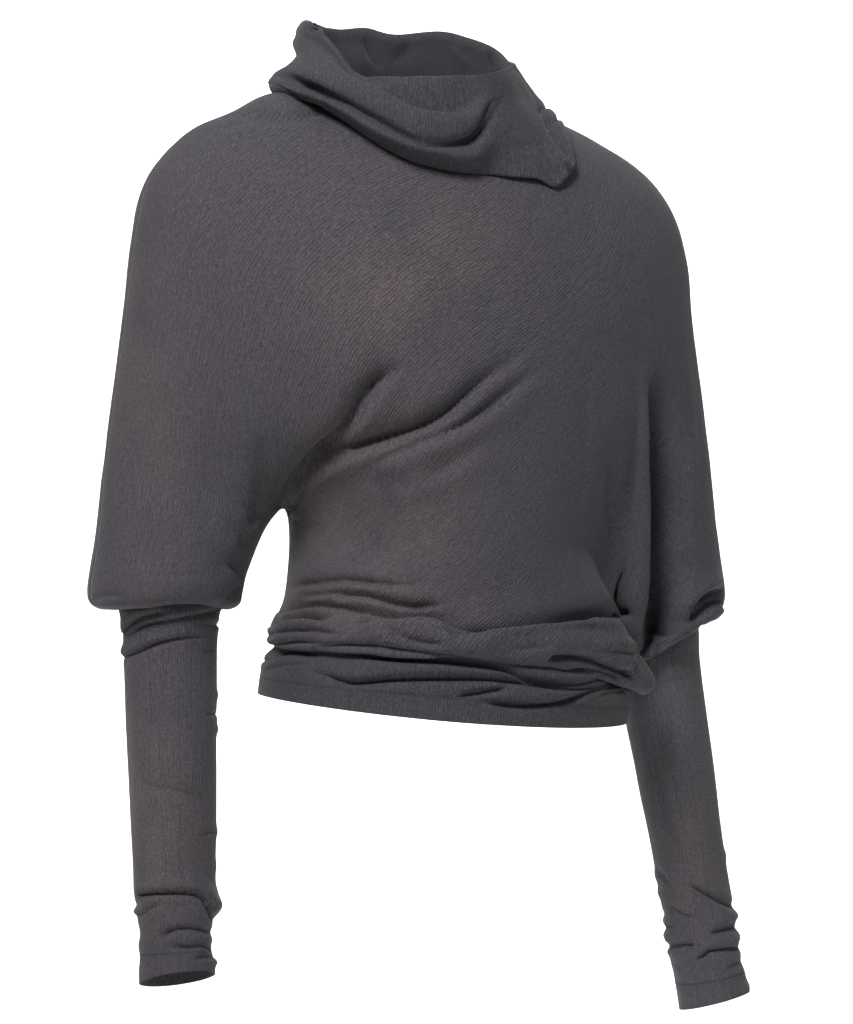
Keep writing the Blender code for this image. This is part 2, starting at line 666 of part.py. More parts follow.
def main():
    for old in list(bpy.data.objects):
        bpy.data.objects.remove(old, do_unlink=True)
    bodice = bodice_sheet()
    make_piece(bodice, "front_bodice", CHARCOAL)
    make_piece(bodice, "back_bodice", CHARCOAL_BACK)
    right = forearm_sheet("lower_sleeve_right", FOREARM_RIGHT, GATHERS_RIGHT)
    make_piece(right, "lower_sleeve_right", CHARCOAL_SLEEVE)
    left = forearm_sheet("lower_sleeve_left", FOREARM_LEFT, GATHERS_LEFT)
    make_piece(left, "lower_sleeve_left", CHARCOAL_SLEEVE)
    make_piece(collar_sheet(), "cowl_collar", CHARCOAL_COLLAR)
    make_piece(band_sheet(), "waistband", CHARCOAL_BAND)


main()
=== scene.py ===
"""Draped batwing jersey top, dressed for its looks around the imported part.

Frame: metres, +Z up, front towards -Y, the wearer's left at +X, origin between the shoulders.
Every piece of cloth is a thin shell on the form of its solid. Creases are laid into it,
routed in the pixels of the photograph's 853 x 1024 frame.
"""

import logging
import math
from collections.abc import Iterable
from dataclasses import dataclass, field
from enum import Enum
from functools import partial

import bmesh
import bpy
import numpy as np
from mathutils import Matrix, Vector, noise
from mathutils.bvhtree import BVHTree


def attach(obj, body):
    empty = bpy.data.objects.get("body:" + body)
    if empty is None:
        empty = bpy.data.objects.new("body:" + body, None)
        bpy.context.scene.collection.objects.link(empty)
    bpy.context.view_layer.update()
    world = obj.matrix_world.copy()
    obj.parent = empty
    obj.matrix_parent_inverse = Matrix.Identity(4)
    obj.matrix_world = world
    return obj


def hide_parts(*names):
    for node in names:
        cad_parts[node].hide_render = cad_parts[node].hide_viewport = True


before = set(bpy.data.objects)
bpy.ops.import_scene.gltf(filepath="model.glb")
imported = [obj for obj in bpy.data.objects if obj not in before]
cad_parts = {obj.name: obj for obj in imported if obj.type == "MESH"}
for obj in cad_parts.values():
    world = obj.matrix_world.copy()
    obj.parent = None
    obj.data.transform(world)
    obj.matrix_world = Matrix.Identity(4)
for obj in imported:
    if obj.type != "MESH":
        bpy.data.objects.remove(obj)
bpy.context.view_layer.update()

LOG = logging.getLogger("draped_top")
Values = float | np.ndarray
MM = 0.001
CLOTH = 1.1 * MM
BAND_HEM = 14.3 * MM
CUFF_HEM = 19 * MM
NEEDLE_GAP = 3 * MM
# Ribs run unbroken for longer on the tubes than on the bias of the bodice.
LONG_RUN = 55 * MM
# From this distance off the free edge on to the neck seam, the collar's stand gets painted shade.
COLLAR_SHADE_FROM = 78 * MM
FRONT_PIECE, BACK_PIECE = 0, 1
# A crease fades on cloth that turns away, reaches six widths and has its lips 1.6 widths out.
FACING_GAIN, FACING_REST = 1.6, 0.05
CREASE_REACH = 6.0
HOLLOW_POWER = 1.3
LIP_PLACE = 1.6


class Side(Enum):
    """The wearer's side that a sleeve is on, as the sign of its x."""

    RIGHT = -1
    LEFT = 1


class Seen(Enum):
    """Which side of the top a crease is seen from; the back is read as if through the front."""

    FRONT = 1.0
    BACK = -1.0


@dataclass(frozen=True)
class PhotoView:
    """The camera that took the photograph, for the render and for routing creases."""

    azimuth: float = math.radians(-22)
    distance: float = 2.4
    aside: float = 0.0127
    height: float = -0.30
    lens: float = 110.0
    sensor: float = 36.0
    width: int = 853
    rows: int = 1024

    def axes(self) -> tuple[np.ndarray, np.ndarray]:
        """The camera's right and the direction from the object to it."""
        right = np.array((math.cos(self.azimuth), math.sin(self.azimuth), 0.0))
        toward = np.array((math.sin(self.azimuth), -math.cos(self.azimuth), 0.0))
        return right, toward

    def location(self) -> np.ndarray:
        """Where the camera stands."""
        right, toward = self.axes()
        return toward * self.distance + right * self.aside + np.array((0.0, 0.0, self.height))

    def pixels(self, points: np.ndarray) -> tuple[np.ndarray, np.ndarray]:
        """Where points fall in the frame.

        Args:
            points: rows of x, y, z in metres.

        Returns:
            The pixel of each point, and how many metres one pixel spans there.
        """
        right, toward = self.axes()
        gaps = points - self.location()
        depth = -(gaps @ toward)
        span = depth * self.sensor / self.lens / self.rows
        across = gaps @ right / span + self.width / 2
        down = self.rows / 2 - gaps[:, 2] / span
        return np.stack((across, down), axis=1), span


VIEW = PhotoView()


def read_rows(table: tuple, count: int) -> np.ndarray:
    """Read a table's columns at even steps along a smooth curve through its rows.

    Args:
        table: rows of numbers.
        count: how many steps to read.

    Returns:
        The values at each step, as rows.
    """
    rows = np.array(table, dtype=float)
    steps = np.linspace(0.0, len(rows) - 1.0, count)
    whole = np.minimum(steps.astype(int), len(rows) - 2)
    part = (steps - whole)[:, None]
    before = rows[np.maximum(whole - 1, 0)]
    here = rows[whole]
    after = rows[whole + 1]
    beyond = rows[np.minimum(whole + 2, len(rows) - 1)]
    linear = (after - before) * part
    square = (2 * before - 5 * here + 4 * after - beyond) * part**2
    cube = (3 * here - before - 3 * after + beyond) * part**3
    return here + 0.5 * (linear + square + cube)


def blend(start: Values, end: Values, share: Values) -> Values:
    """Mix two values or arrays."""
    return start + (end - start) * share


def ease(value: Values) -> Values:
    """A soft step from 0 to 1."""
    value = np.clip(value, 0.0, 1.0)
    return value * value * (3.0 - 2.0 * value)


@dataclass
class Cloth:
    """A surface without thickness: points, quads, each quad's piece and its corners' flat places."""

    points: list = field(default_factory=list)
    quads: list = field(default_factory=list)
    pieces: list = field(default_factory=list)
    pattern: list = field(default_factory=list)

    def add_ring(self, points: np.ndarray) -> list[int]:
        """Add a ring of points and return their numbers."""
        first = len(self.points)
        self.points.extend(np.asarray(points))
        return list(range(first, len(self.points)))

    def skin(self, upper: list[int], lower: list[int], pieces: list[int],
             upper_cut: list[np.ndarray], lower_cut: list[np.ndarray]) -> None:
        """Join two closed rings.

        Args:
            upper, lower: the rings' point numbers.
            pieces: the piece of each quad.
            upper_cut, lower_cut: per piece, the pattern place of each ring point; the list has one
                place more than the ring, so that a closed pattern doesn't wrap.
        """
        count = len(upper)
        for here in range(count):
            after = (here + 1) % count
            piece = pieces[here]
            self.quads.append((upper[here], lower[here], lower[after], upper[after]))
            self.pieces.append(piece)
            top, low = upper_cut[piece], lower_cut[piece]
            self.pattern.append((top[here], low[here], low[here + 1], top[here + 1]))

    def ease_round(self, corner: int, reach: float, rounds: int) -> None:
        """Draw the cloth near one point towards the mean of its neighbours, as a bent seam lies.

        Args:
            corner: the number of the point.
            reach: how far the change reaches, in metres.
            rounds: how often it is made.
        """
        links: dict[int, set[int]] = {}
        for quad in self.quads:
            for start, end in zip(quad, quad[1:] + quad[:1]):
                links.setdefault(start, set()).add(end)
                links.setdefault(end, set()).add(start)
        points = np.array(self.points)
        gaps = np.linalg.norm(points - points[corner], axis=1)
        near = [index for index in links if gaps[index] < reach]
        for _ in range(rounds):
            means = {index: points[list(links[index])].mean(axis=0) for index in near}
            for index, mean in means.items():
                points[index] += (mean - points[index]) * 0.5 * (1.0 - gaps[index] / reach)
        self.points = list(points)

    def hang(self, rings: Iterable[np.ndarray], ring: list[int], cuts: list[np.ndarray],
             pieces: list[int], drop: np.ndarray) -> None:
        """Hang rings one below another from a ring of the cloth.

        Args:
            rings: the points of each new ring, from the top.
            ring: the point numbers of the ring they hang from.
            cuts: per piece, that ring's places in the pattern.
            pieces: the piece of each quad of a ring.
            drop: the way down in the pattern, for each metre.
        """
        above = np.array([self.points[corner] for corner in ring])
        for points in rings:
            lengths = np.linalg.norm(points - above, axis=1)
            step = np.append(lengths, lengths[0])[:, None] * drop
            below = [flat + step for flat in cuts]
            lower = self.add_ring(points)
            self.skin(ring, lower, pieces, cuts, below)
            ring, cuts, above = lower, below, points

    def to_mesh(self, name: str, levels: int) -> bpy.types.Mesh:
        """Make a smooth mesh of the surface.

        Args:
            name: the mesh's name.
            levels: how often each quad is split in four.

        Returns:
            A mesh whose material numbers are the pieces and whose UV map is the pattern.
        """
        mesh = bpy.data.meshes.new(name)
        mesh.from_pydata([tuple(point) for point in self.points], [], self.quads)
        mesh.polygons.foreach_set("material_index", self.pieces)
        for _ in set(self.pieces):
            mesh.materials.append(None)
        layer = mesh.uv_layers.new(name="pattern")
        layer.data.foreach_set("uv", np.array(self.pattern, dtype=float).ravel())
        holder = bpy.data.objects.new(name + "_coarse", mesh)
        bpy.context.collection.objects.link(holder)
        split = holder.modifiers.new("round", "SUBSURF")
        split.levels = split.render_levels = levels
        fine = bpy.data.meshes.new_from_object(
            holder.evaluated_get(bpy.context.evaluated_depsgraph_get())
        )
        bpy.data.objects.remove(holder)
        bpy.data.meshes.remove(mesh)
        return fine


def mesh_points(mesh: bpy.types.Mesh) -> np.ndarray:
    """The points of a mesh as rows."""
    points = np.empty(len(mesh.vertices) * 3)
    mesh.vertices.foreach_get("co", points)
    return points.reshape(-1, 3)


def mesh_normals(mesh: bpy.types.Mesh) -> np.ndarray:
    """The point normals of a mesh as rows."""
    normals = np.empty(len(mesh.vertices) * 3)
    mesh.vertex_normals.foreach_get("vector", normals)
    return normals.reshape(-1, 3)


def set_points(mesh: bpy.types.Mesh, points: np.ndarray) -> None:
    """Move a mesh's points to new places."""
    mesh.vertices.foreach_set("co", points.ravel())
    mesh.update()


@dataclass(frozen=True)
class Crease:
    """One soft trough or ridge in the cloth.

    The route runs through pixels of the photograph's frame. Depth, width and the lips beside it
    are millimetres; a negative depth is a ridge. The lip below is on the right of the way the
    route runs, as seen; the trough's side towards it is steeper by its share of the width, and
    tuck draws that lip over the trough. Cloth that is turned away from the camera moves by no
    less than the share around. Only points whose x lies in span are moved. Each end fades over
    its share of the route.
    """

    route: tuple[tuple[float, float], ...]
    depth: float
    width: float
    below: float = 0.0
    above: float = 0.0
    tuck: float = 0.0
    steep: float = 0.6
    around: float = 0.0
    span: tuple[float, float] = (-1.0, 1.0)
    fade: tuple[float, float] = (0.25, 0.25)
    seen: Seen = Seen.FRONT


def read_creases(text: str) -> tuple[Crease, ...]:
    """Read creases from a table.

    Args:
        text: creases that each end in a semicolon: plain values in the order of the fields, then
            pairs and the side by name, a colon, and the pixels of the route.

    Returns:
        The creases.
    """
    creases = []
    for entry in text.split(";")[:-1]:
        values, route = entry.split(":")
        plain = [float(value) for value in values.split() if "=" not in value]
        named = dict(value.split("=") for value in values.split() if "=" in value)
        given = {name: Seen[value] if name == "seen" else tuple(map(float, value.split(",")))
                 for name, value in named.items()}
        spots = tuple(tuple(map(float, spot.split(","))) for spot in route.split())
        creases.append(Crease(spots, *plain, **given))
    return tuple(creases)


def press_crease(points: np.ndarray, normals: np.ndarray, crease: Crease) -> np.ndarray:
    """How far each point of the cloth moves for one crease.

    Args:
        points: rows of x, y, z in metres.
        normals: the cloth's outward direction at each.
        crease: the crease.

    Returns:
        The moves as rows of x, y, z in metres.
    """
    mirror = np.array((1.0, crease.seen.value, 1.0))
    pixels, span = VIEW.pixels(points * mirror)
    right, _ = VIEW.axes()
    to_camera = VIEW.location() - points * mirror
    to_camera /= np.linalg.norm(to_camera, axis=1, keepdims=True)
    facing = np.einsum("ij,ij->i", normals * mirror, to_camera)
    facing = np.clip(facing * FACING_GAIN + FACING_REST, 0.0, 1.0)
    facing = np.maximum(facing, crease.around)
    line = read_rows(crease.route, 10 * (len(crease.route) - 1) + 1)
    margin = CREASE_REACH * crease.width * MM / span.mean()
    low, high = line.min(axis=0) - margin, line.max(axis=0) + margin
    inner_shade = np.all((pixels > low) & (pixels < high), axis=1) & (facing > 0)
    inner_shade &= (points[:, 0] > crease.span[0]) & (points[:, 0] < crease.span[1])
    moves = np.zeros_like(points)
    chosen = np.nonzero(inner_shade)[0]
    if not len(chosen):
        return moves

    spots = pixels[chosen]
    starts, steps = line[:-1], np.diff(line, axis=0)
    lengths = np.linalg.norm(steps, axis=1)
    gaps = spots[:, None, :] - starts[None, :, :]
    share = np.clip((gaps * steps).sum(axis=2) / lengths**2, 0.0, 1.0)
    offset = gaps - share[:, :, None] * steps
    distance = np.linalg.norm(offset, axis=2)
    nearest = distance.argmin(axis=1)
    pick = np.arange(len(chosen))
    away = distance[pick, nearest]
    step = steps[nearest]
    spot = offset[pick, nearest]
    turn = step[:, 0] * spot[:, 1] - step[:, 1] * spot[:, 0]
    side = np.where(turn > 0, 1.0, -1.0)
    done = np.concatenate(((0.0,), np.cumsum(lengths)))
    along = (done[nearest] + share[pick, nearest] * lengths[nearest]) / done[-1]

    wide = np.where(side > 0, crease.width * crease.steep, crease.width)
    apart = away * span[chosen] / MM / wide
    taper = ease(along / crease.fade[0]) * ease((1.0 - along) / crease.fade[1])
    hollow = np.exp(-(apart**HOLLOW_POWER)) * crease.depth
    lip_place = apart / LIP_PLACE
    lip = lip_place * np.exp(1.0 - lip_place)
    raised = np.where(side > 0, crease.below, crease.above) * lip
    weight = taper * facing[chosen]
    moves[chosen] = normals[chosen] * ((raised - hollow) * weight * MM)[:, None]
    if crease.tuck:
        across = step / np.linalg.norm(step, axis=1, keepdims=True)
        pull = -np.stack((-across[:, 1], across[:, 0]), axis=1)
        amount = np.where(side > 0, crease.tuck * lip, 0.0) * weight * MM
        sideways = pull[:, :1] * right * mirror + pull[:, 1:] * np.array((0.0, 0.0, -1.0))
        moves[chosen] += sideways * amount[:, None]
    return moves


def press(mesh: bpy.types.Mesh, creases: tuple[Crease, ...]) -> None:
    """Lay creases into a mesh, all at once."""
    points, normals = mesh_points(mesh), mesh_normals(mesh)
    moves = sum((press_crease(points, normals, crease) for crease in creases), np.zeros_like(points))
    set_points(mesh, points + moves)


@dataclass(frozen=True)
class Swell:
    """A soft bulge: a place, how far it reaches each way and how it moves, in metres."""

    place: tuple[float, float, float]
    reach: tuple[float, float, float]
    move: tuple[float, float, float]


def swell_out(mesh: bpy.types.Mesh, swells: tuple[Swell, ...]) -> None:
    """Move the cloth near each swell.

    Args:
        mesh: the cloth.
        swells: the bulges.
    """
    points = mesh_points(mesh)
    moves = np.zeros_like(points)
    for swell in swells:
        gaps = (points - np.array(swell.place)) / np.array(swell.reach)
        moves += np.exp(-(gaps**2).sum(axis=1))[:, None] * np.array(swell.move)
    set_points(mesh, points + moves)


def ripple(mesh: bpy.types.Mesh, height: float, size: tuple[float, float, float],
           seed: float) -> None:
    """Give cloth the faint unevenness that keeps it from looking moulded.

    Args:
        mesh: the cloth.
        height: how far it moves each way, in metres.
        size: wavelength along x, y and z, in metres.
        seed: moves the pattern.
    """
    points, normals = mesh_points(mesh), mesh_normals(mesh)
    places = points / np.array(size) + seed
    lift = np.array([noise.noise(Vector(place)) for place in places])
    set_points(mesh, points + normals * (lift * height)[:, None])


def linear(code: str) -> tuple[float, float, float, float]:
    """Turn an sRGB hex colour into a linear one."""
    parts = [int(code[place:place + 2], 16) / 255 for place in (1, 3, 5)]
    values = [part / 12.92 if part <= 0.04045 else ((part + 0.055) / 1.055) ** 2.4 for part in parts]
    return (*values, 1.0)


def fill(node: bpy.types.Node, values: dict) -> None:
    """Give a node's inputs, by name or number, plain values or another node's output."""
    for key, value in values.items():
        if isinstance(value, bpy.types.NodeSocket):
            node.id_data.links.new(value, node.inputs[key])
        else:
            node.inputs[key].default_value = value


def add_node(tree: bpy.types.NodeTree, kind: str, values: dict | None = None, out: int | str = 0,
             **settings: object) -> bpy.types.NodeSocket | None:
    """Add a node with its settings and links.

    Args:
        tree: the node tree.
        kind: the node's type.
        values: input name or number to an output socket or a plain value.
        out: the name or number of the output to return.
        settings: properties of the node.

    Returns:
        That output, or None for a node that has none.
    """
    node = tree.nodes.new(kind)
    for name, value in settings.items():
        setattr(node, name, value)
    fill(node, values or {})
    return node.outputs[out] if node.outputs else None


def start_material(name: str) -> tuple[bpy.types.Material, partial, bpy.types.Node]:
    """Start a material.

    Args:
        name: its name.

    Returns:
        The material, what adds a node to it, and its shader.
    """
    material = bpy.data.materials.new(name)
    material.use_nodes = True
    tree = material.node_tree
    return material, partial(add_node, tree), tree.nodes["Principled BSDF"]


@dataclass(frozen=True)
class RibJersey:
    """Fine crinkled viscose rib jersey, piece dyed charcoal: matt, with irregular raised ribs.

    The eye reads it from thin broken grooves, one about every 2 mm, that finer creped threads
    cross. Where it is stretched thin, it looks warmer and shows pale flecks between the threads;
    these flecks are painted highlight, and the grooves carry painted shade.
    """

    name: str
    base: str = "#4a474c"
    # Painted shade: the dark colour laid into rib grooves, weave hollows and the hem's stitch furrow.
    groove_shade: str = "#262428"
    # Painted highlight: the pale colour of the flecks on standing threads, stronger where the cloth is
    # thin.
    glint: str = "#7b777d"
    warm: str = "#6a5d5e"
    rib: float = 1.95 * MM
    rib_run: float = 17.0 * MM
    thread: float = 1.0 * MM
    relief: float = 0.45 * MM
    hem: float = 0.0
    # Painted shade: from this distance off the free edge on, the colour darkens towards the dark tint
    # below.
    inner_shade_from: float = 0.0
    inner_shade: str = "#242226"

    def build(self) -> bpy.types.Material:
        """Make the material."""
        material, put, shader = start_material(self.name)
        flat = put("ShaderNodeUVMap", uv_map="pattern")
        grooves, weave, height = self.relief_nodes(put, flat)
        # Painted highlight where the weave stands highest.
        highlight_specks = put("ShaderNodeMapRange", {"Value": weave, "From Min": 0.26, "From Max": 0.42})
        # Painted shade where the weave sinks between threads.
        pit_shade = put("ShaderNodeMapRange", {"Value": weave, "From Min": 0.24, "From Max": 0.13})

        # Colour: thin cloth reads warmer, unevenly over centimetres; painted shade darkens the grooves
        # and the hollows of the weave, and painted highlight flecks lighten the standing threads.
        solid = put("ShaderNodeTexCoord", None, "Object")
        cloud = put("ShaderNodeTexNoise", {
            "Vector": solid, "Scale": 14.0, "Detail": 4.0, "Roughness": 0.6}, "Fac")
        thin = put("ShaderNodeAttribute", None, "Fac", attribute_name="sheer")
        patchy = put("ShaderNodeMapRange", {"Value": cloud, "From Min": 0.35, "From Max": 0.62})
        patch = put("ShaderNodeMath", {0: thin, 1: patchy}, operation="MULTIPLY")
        highlight_strength = put("ShaderNodeMath", {0: patch, 1: 0.40, 2: 0.29}, operation="MULTIPLY_ADD")
        layers = [(patch, 1.0, self.warm), (grooves, 0.48, self.groove_shade), (pit_shade, 0.45, self.groove_shade),
                  (highlight_specks, highlight_strength, self.glint)]
        edge = put("ShaderNodeSeparateXYZ", {0: flat}, "Y")
        if self.hem:
            height, seam = self.hem_height(put, edge, height)
            # The stitch furrow also darkens the colour, as painted shade.
            layers.append((seam, 0.55, self.groove_shade))
        if self.inner_shade_from:
            # Past the rim it turns over; from there to the neck seam a dark colour lays painted shade
            # on the stand within the cowl.
            inner_shade_share = put("ShaderNodeMapRange", {
                "Value": edge, "From Min": self.inner_shade_from, "From Max": self.inner_shade_from + 8 * MM})
            layers.append((inner_shade_share, 0.75, self.inner_shade))
        colour = linear(self.base)
        for mask, strength, tint in layers:
            share = put("ShaderNodeMath", {0: mask, 1: strength}, operation="MULTIPLY")
            colour = put("ShaderNodeMix", {0: share, 6: colour, 7: linear(tint)}, 2, data_type="RGBA")
        bump = put("ShaderNodeBump", {"Strength": 0.42, "Distance": self.relief, "Height": height})
        fill(shader, {"Base Color": colour, "Normal": bump, "Roughness": 0.85,
                      "Specular IOR Level": 0.2, "Sheen Weight": 0.10, "Sheen Roughness": 0.4,
                      "Sheen Tint": linear("#e0dde0")})
        return material

    def relief_nodes(self, put: partial, flat: bpy.types.NodeSocket
                     ) -> tuple[bpy.types.NodeSocket, bpy.types.NodeSocket, bpy.types.NodeSocket]:
        """Draw the ribs and threads.

        Args:
            put: adds a node to the material.
            flat: the cloth's place in its flat cut.

        Returns:
            The broken grooves, the weave and the height of both together.
        """
        # Ribs: even bands that wander by part of a rib, broken up along their run.
        wander = put("ShaderNodeTexNoise", {"Vector": flat, "Scale": 30.0, "Detail": 2.0}, "Color")
        bent = put("ShaderNodeVectorMath", {
            0: wander, 1: (self.rib * 0.8, 0.0, 0.0), 2: flat}, operation="MULTIPLY_ADD")
        along_ribs = put("ShaderNodeMapping", {
            "Vector": bent, "Scale": (1.0 / self.rib, 1.0 / self.rib_run, 1.0)})
        ribs = put("ShaderNodeTexWave", {
            "Vector": along_ribs, "Scale": math.pi / 10, "Distortion": 1.2, "Detail": 2.0,
            "Detail Scale": 1.5}, "Fac", bands_direction="X")
        streaks = put("ShaderNodeTexNoise", {
            "Vector": along_ribs, "Scale": 0.9, "Detail": 3.0, "Roughness": 0.65}, "Fac")
        broken = put("ShaderNodeMapRange", {"Value": streaks, "From Min": 0.58, "From Max": 0.40})
        low = put("ShaderNodeMapRange", {"Value": ribs, "From Min": 0.42, "From Max": 0.02})
        grooves = put("ShaderNodeMath", {0: low, 1: broken}, operation="MULTIPLY")

        # Creped threads along the ribs, and a grain about as fine as the camera can tell.
        along_threads = put("ShaderNodeMapping", {
            "Vector": bent, "Scale": (1.0 / self.thread, 0.30 / self.thread, 1.0)})
        threads = put("ShaderNodeTexNoise", {
            "Vector": along_threads, "Scale": 0.75, "Detail": 3.0, "Roughness": 0.7}, "Fac")
        grain = put("ShaderNodeTexNoise", {
            "Vector": flat, "Scale": 0.8 / self.thread, "Detail": 1.0}, "Fac")
        weave = put("ShaderNodeMath", {0: threads, 1: grain}, operation="MULTIPLY")
        height = put("ShaderNodeMath", {0: streaks, 1: ribs}, operation="ADD")
        for part, lift in ((grooves, -1.2), (weave, 2.2)):
            height = put("ShaderNodeMath", {0: part, 1: lift, 2: height}, operation="MULTIPLY_ADD")
        return grooves, weave, height

    def hem_height(self, put: partial, edge: bpy.types.NodeSocket, height: bpy.types.NodeSocket
                   ) -> tuple[bpy.types.NodeSocket, bpy.types.NodeSocket]:
        """Raise the turned hem, and bite a furrow where its stitching runs.

        Args:
            put: adds a node to the material.
            edge: the distance from the free edge.
            height: the cloth's height so far.

        Returns:
            The height with the hem in it, and the furrow alone, which the colour also takes as painted
            shade.
        """
        doubled = put("ShaderNodeMapRange", {
            "Value": edge, "From Min": self.hem + 0.9 * MM, "From Max": self.hem - 0.9 * MM})
        away = put("ShaderNodeMath", {0: edge, 1: self.hem}, operation="SUBTRACT")
        away = put("ShaderNodeMath", {0: away}, operation="ABSOLUTE")
        bite = put("ShaderNodeMapRange", {"Value": away, "From Min": 1.3 * MM, "From Max": 0.0})
        for part, lift in ((doubled, 1.6), (bite, -1.8)):
            height = put("ShaderNodeMath", {0: part, 1: lift, 2: height}, operation="MULTIPLY_ADD")
        return height, bite


@dataclass(frozen=True)
class SewingThread:
    """Spun polyester thread, a shade darker than the jersey: soft, with a twist too fine to see.

    The eye reads it as small dull grains that stand a little over the ribs.
    """

    name: str = "charcoal_spun_thread"
    base: str = "#39373b"
    worn: str = "#57545a"

    def build(self) -> bpy.types.Material:
        """Make the material."""
        material, put, shader = start_material(self.name)
        solid = put("ShaderNodeTexCoord", None, "Object")
        fuzz = put("ShaderNodeTexNoise", {"Vector": solid, "Scale": 2200.0, "Detail": 2.0}, "Fac")
        colour = put("ShaderNodeMix", {
            0: fuzz, 6: linear(self.base), 7: linear(self.worn)}, 2, data_type="RGBA")
        bump = put("ShaderNodeBump", {"Strength": 0.4, "Distance": 0.1 * MM, "Height": fuzz})
        fill(shader, {"Base Color": colour, "Normal": bump, "Roughness": 0.7,
                      "Specular IOR Level": 0.3})
        return material


@dataclass(frozen=True)
class Stitches:
    """Straight stitches of a twin needle, laid along rows by Geometry Nodes."""

    spacing: float = 3.0 * MM
    length: float = 2.3 * MM
    thickness: float = 0.55 * MM
    uneven: float = 0.12
    seed: int = 7
    raised: float = 0.15
    thread: SewingThread = SewingThread()

    def tree(self) -> bpy.types.NodeTree:
        """The nodes that set a grain of thread at every step along each row."""
        tree = bpy.data.node_groups.new("twin_needle_stitches", "GeometryNodeTree")
        sockets = {"Geometry": "Geometry", "Spacing": "Float", "Length": "Float",
                   "Thickness": "Float", "Uneven": "Float", "Seed": "Int", "Thread": "Material"}
        for name, kind in sockets.items():
            tree.interface.new_socket(name, in_out="INPUT", socket_type="NodeSocket" + kind)
        tree.interface.new_socket("Geometry", in_out="OUTPUT", socket_type="NodeSocketGeometry")
        put = partial(add_node, tree)
        given = put("NodeGroupInput").node.outputs
        rows = put("GeometryNodeMeshToCurve", {"Mesh": given["Geometry"]})
        rows = put("GeometryNodeResampleCurve", {
            "Curve": rows, "Length": given["Spacing"]}, mode="LENGTH")
        along = put("GeometryNodeInputTangent")
        turn = put("FunctionNodeAlignRotationToVector", {"Vector": along}, axis="Z")
        size = put("ShaderNodeCombineXYZ", {
            0: given["Thickness"], 1: given["Thickness"], 2: given["Length"]})
        least = put("ShaderNodeMath", {0: 1.0, 1: given["Uneven"]}, operation="SUBTRACT")
        most = put("ShaderNodeMath", {0: 1.0, 1: given["Uneven"]})
        change = put("FunctionNodeRandomValue", {
            2: least, 3: most, "Seed": given["Seed"]}, 1, data_type="FLOAT")
        size = put("ShaderNodeVectorMath", {0: size, "Scale": change}, operation="SCALE")
        grain = put("GeometryNodeMeshIcoSphere", {"Radius": 0.5, "Subdivisions": 2})
        sewn = put("GeometryNodeInstanceOnPoints", {
            "Points": rows, "Instance": grain, "Rotation": turn, "Scale": size})
        sewn = put("GeometryNodeRealizeInstances", {"Geometry": sewn})
        sewn = put("GeometryNodeSetMaterial", {"Geometry": sewn, "Material": given["Thread"]})
        put("NodeGroupOutput", {"Geometry": sewn})
        return tree

    def lay(self, name: str, rows: list[list[Vector]]) -> bpy.types.Object:
        """Sew along closed rows of points.

        Args:
            name: the name of the stitches.
            rows: the points of each row.

        Returns:
            The stitches as one plain object.
        """
        points = [point for row in rows for point in row]
        edges, first = [], 0
        for row in rows:
            edges += [(first + here, first + (here + 1) % len(row)) for here in range(len(row))]
            first += len(row)
        path = bpy.data.meshes.new(name + "_path")
        path.from_pydata(points, edges, [])
        holder = bpy.data.objects.new(name + "_path", path)
        bpy.context.collection.objects.link(holder)
        tree = self.tree()
        sewing = holder.modifiers.new("sewing", "NODES")
        sewing.node_group = tree
        values = {"Spacing": self.spacing, "Length": self.length, "Thickness": self.thickness,
                  "Uneven": self.uneven, "Seed": self.seed, "Thread": self.thread.build()}
        for item in tree.interface.items_tree:
            if item.in_out == "INPUT" and item.name in values:
                sewing[item.identifier] = values[item.name]
        holder.update_tag()
        mesh = bpy.data.meshes.new_from_object(
            holder.evaluated_get(bpy.context.evaluated_depsgraph_get()))
        bpy.data.objects.remove(holder)
        bpy.data.meshes.remove(path)
        mesh.name = name
        mesh.shade_smooth()
        sewn = bpy.data.objects.new(name, mesh)
        bpy.context.collection.objects.link(sewn)
        return sewn


def shell(name: str, mesh: bpy.types.Mesh, material: bpy.types.Material) -> bpy.types.Object:
    """Make a piece of cloth a thin closed shell that wears a material.

    Args:
        name: the piece's name.
        mesh: the cloth's outer side.
        material: what it wears.

    Returns:
        The piece.
    """
    piece = bpy.data.objects.new(name, mesh)
    bpy.context.collection.objects.link(piece)
    mesh.materials.clear()
    mesh.materials.append(material)
    mesh.polygons.foreach_set("material_index", [0] * len(mesh.polygons))
    mesh.shade_smooth()
    wall = piece.modifiers.new("wall", "SOLIDIFY")
    wall.thickness = CLOTH
    wall.offset = -1.0
    return piece


def keep_piece(mesh: bpy.types.Mesh, number: int) -> bpy.types.Mesh:
    """Copy a mesh with the faces of one piece only.

    Args:
        mesh: the whole cloth.
        number: the piece's material number.

    Returns:
        The copy.
    """
    work = bmesh.new()
    work.from_mesh(mesh)
    others = [quad for quad in work.faces if quad.material_index != number]
    bmesh.ops.delete(work, geom=others, context="FACES")
    part = bpy.data.meshes.new(mesh.name + "_part")
    work.to_mesh(part)
    work.free()
    return part


@dataclass(frozen=True)
class SheerPatch:
    """Where stretched cloth lets light through and reads warmer: a pixel, its reach and strength."""

    across: float
    down: float
    wide: float
    tall: float
    strength: float


def mark_sheer(mesh: bpy.types.Mesh, patches: tuple[SheerPatch, ...]) -> None:
    """Store how warm and thin the cloth looks at each point.

    Args:
        mesh: the cloth, which gets the attribute sheer.
        patches: where it is thin.
    """
    pixels, _ = VIEW.pixels(mesh_points(mesh))
    amount = np.zeros(len(pixels))
    for patch in patches:
        gap = (pixels - (patch.across, patch.down)) / (patch.wide, patch.tall)
        amount = np.maximum(amount, patch.strength * np.exp(-(gap**2).sum(axis=1)))
    layer = mesh.attributes.new("sheer", "FLOAT", "POINT")
    layer.data.foreach_set("value", amount)


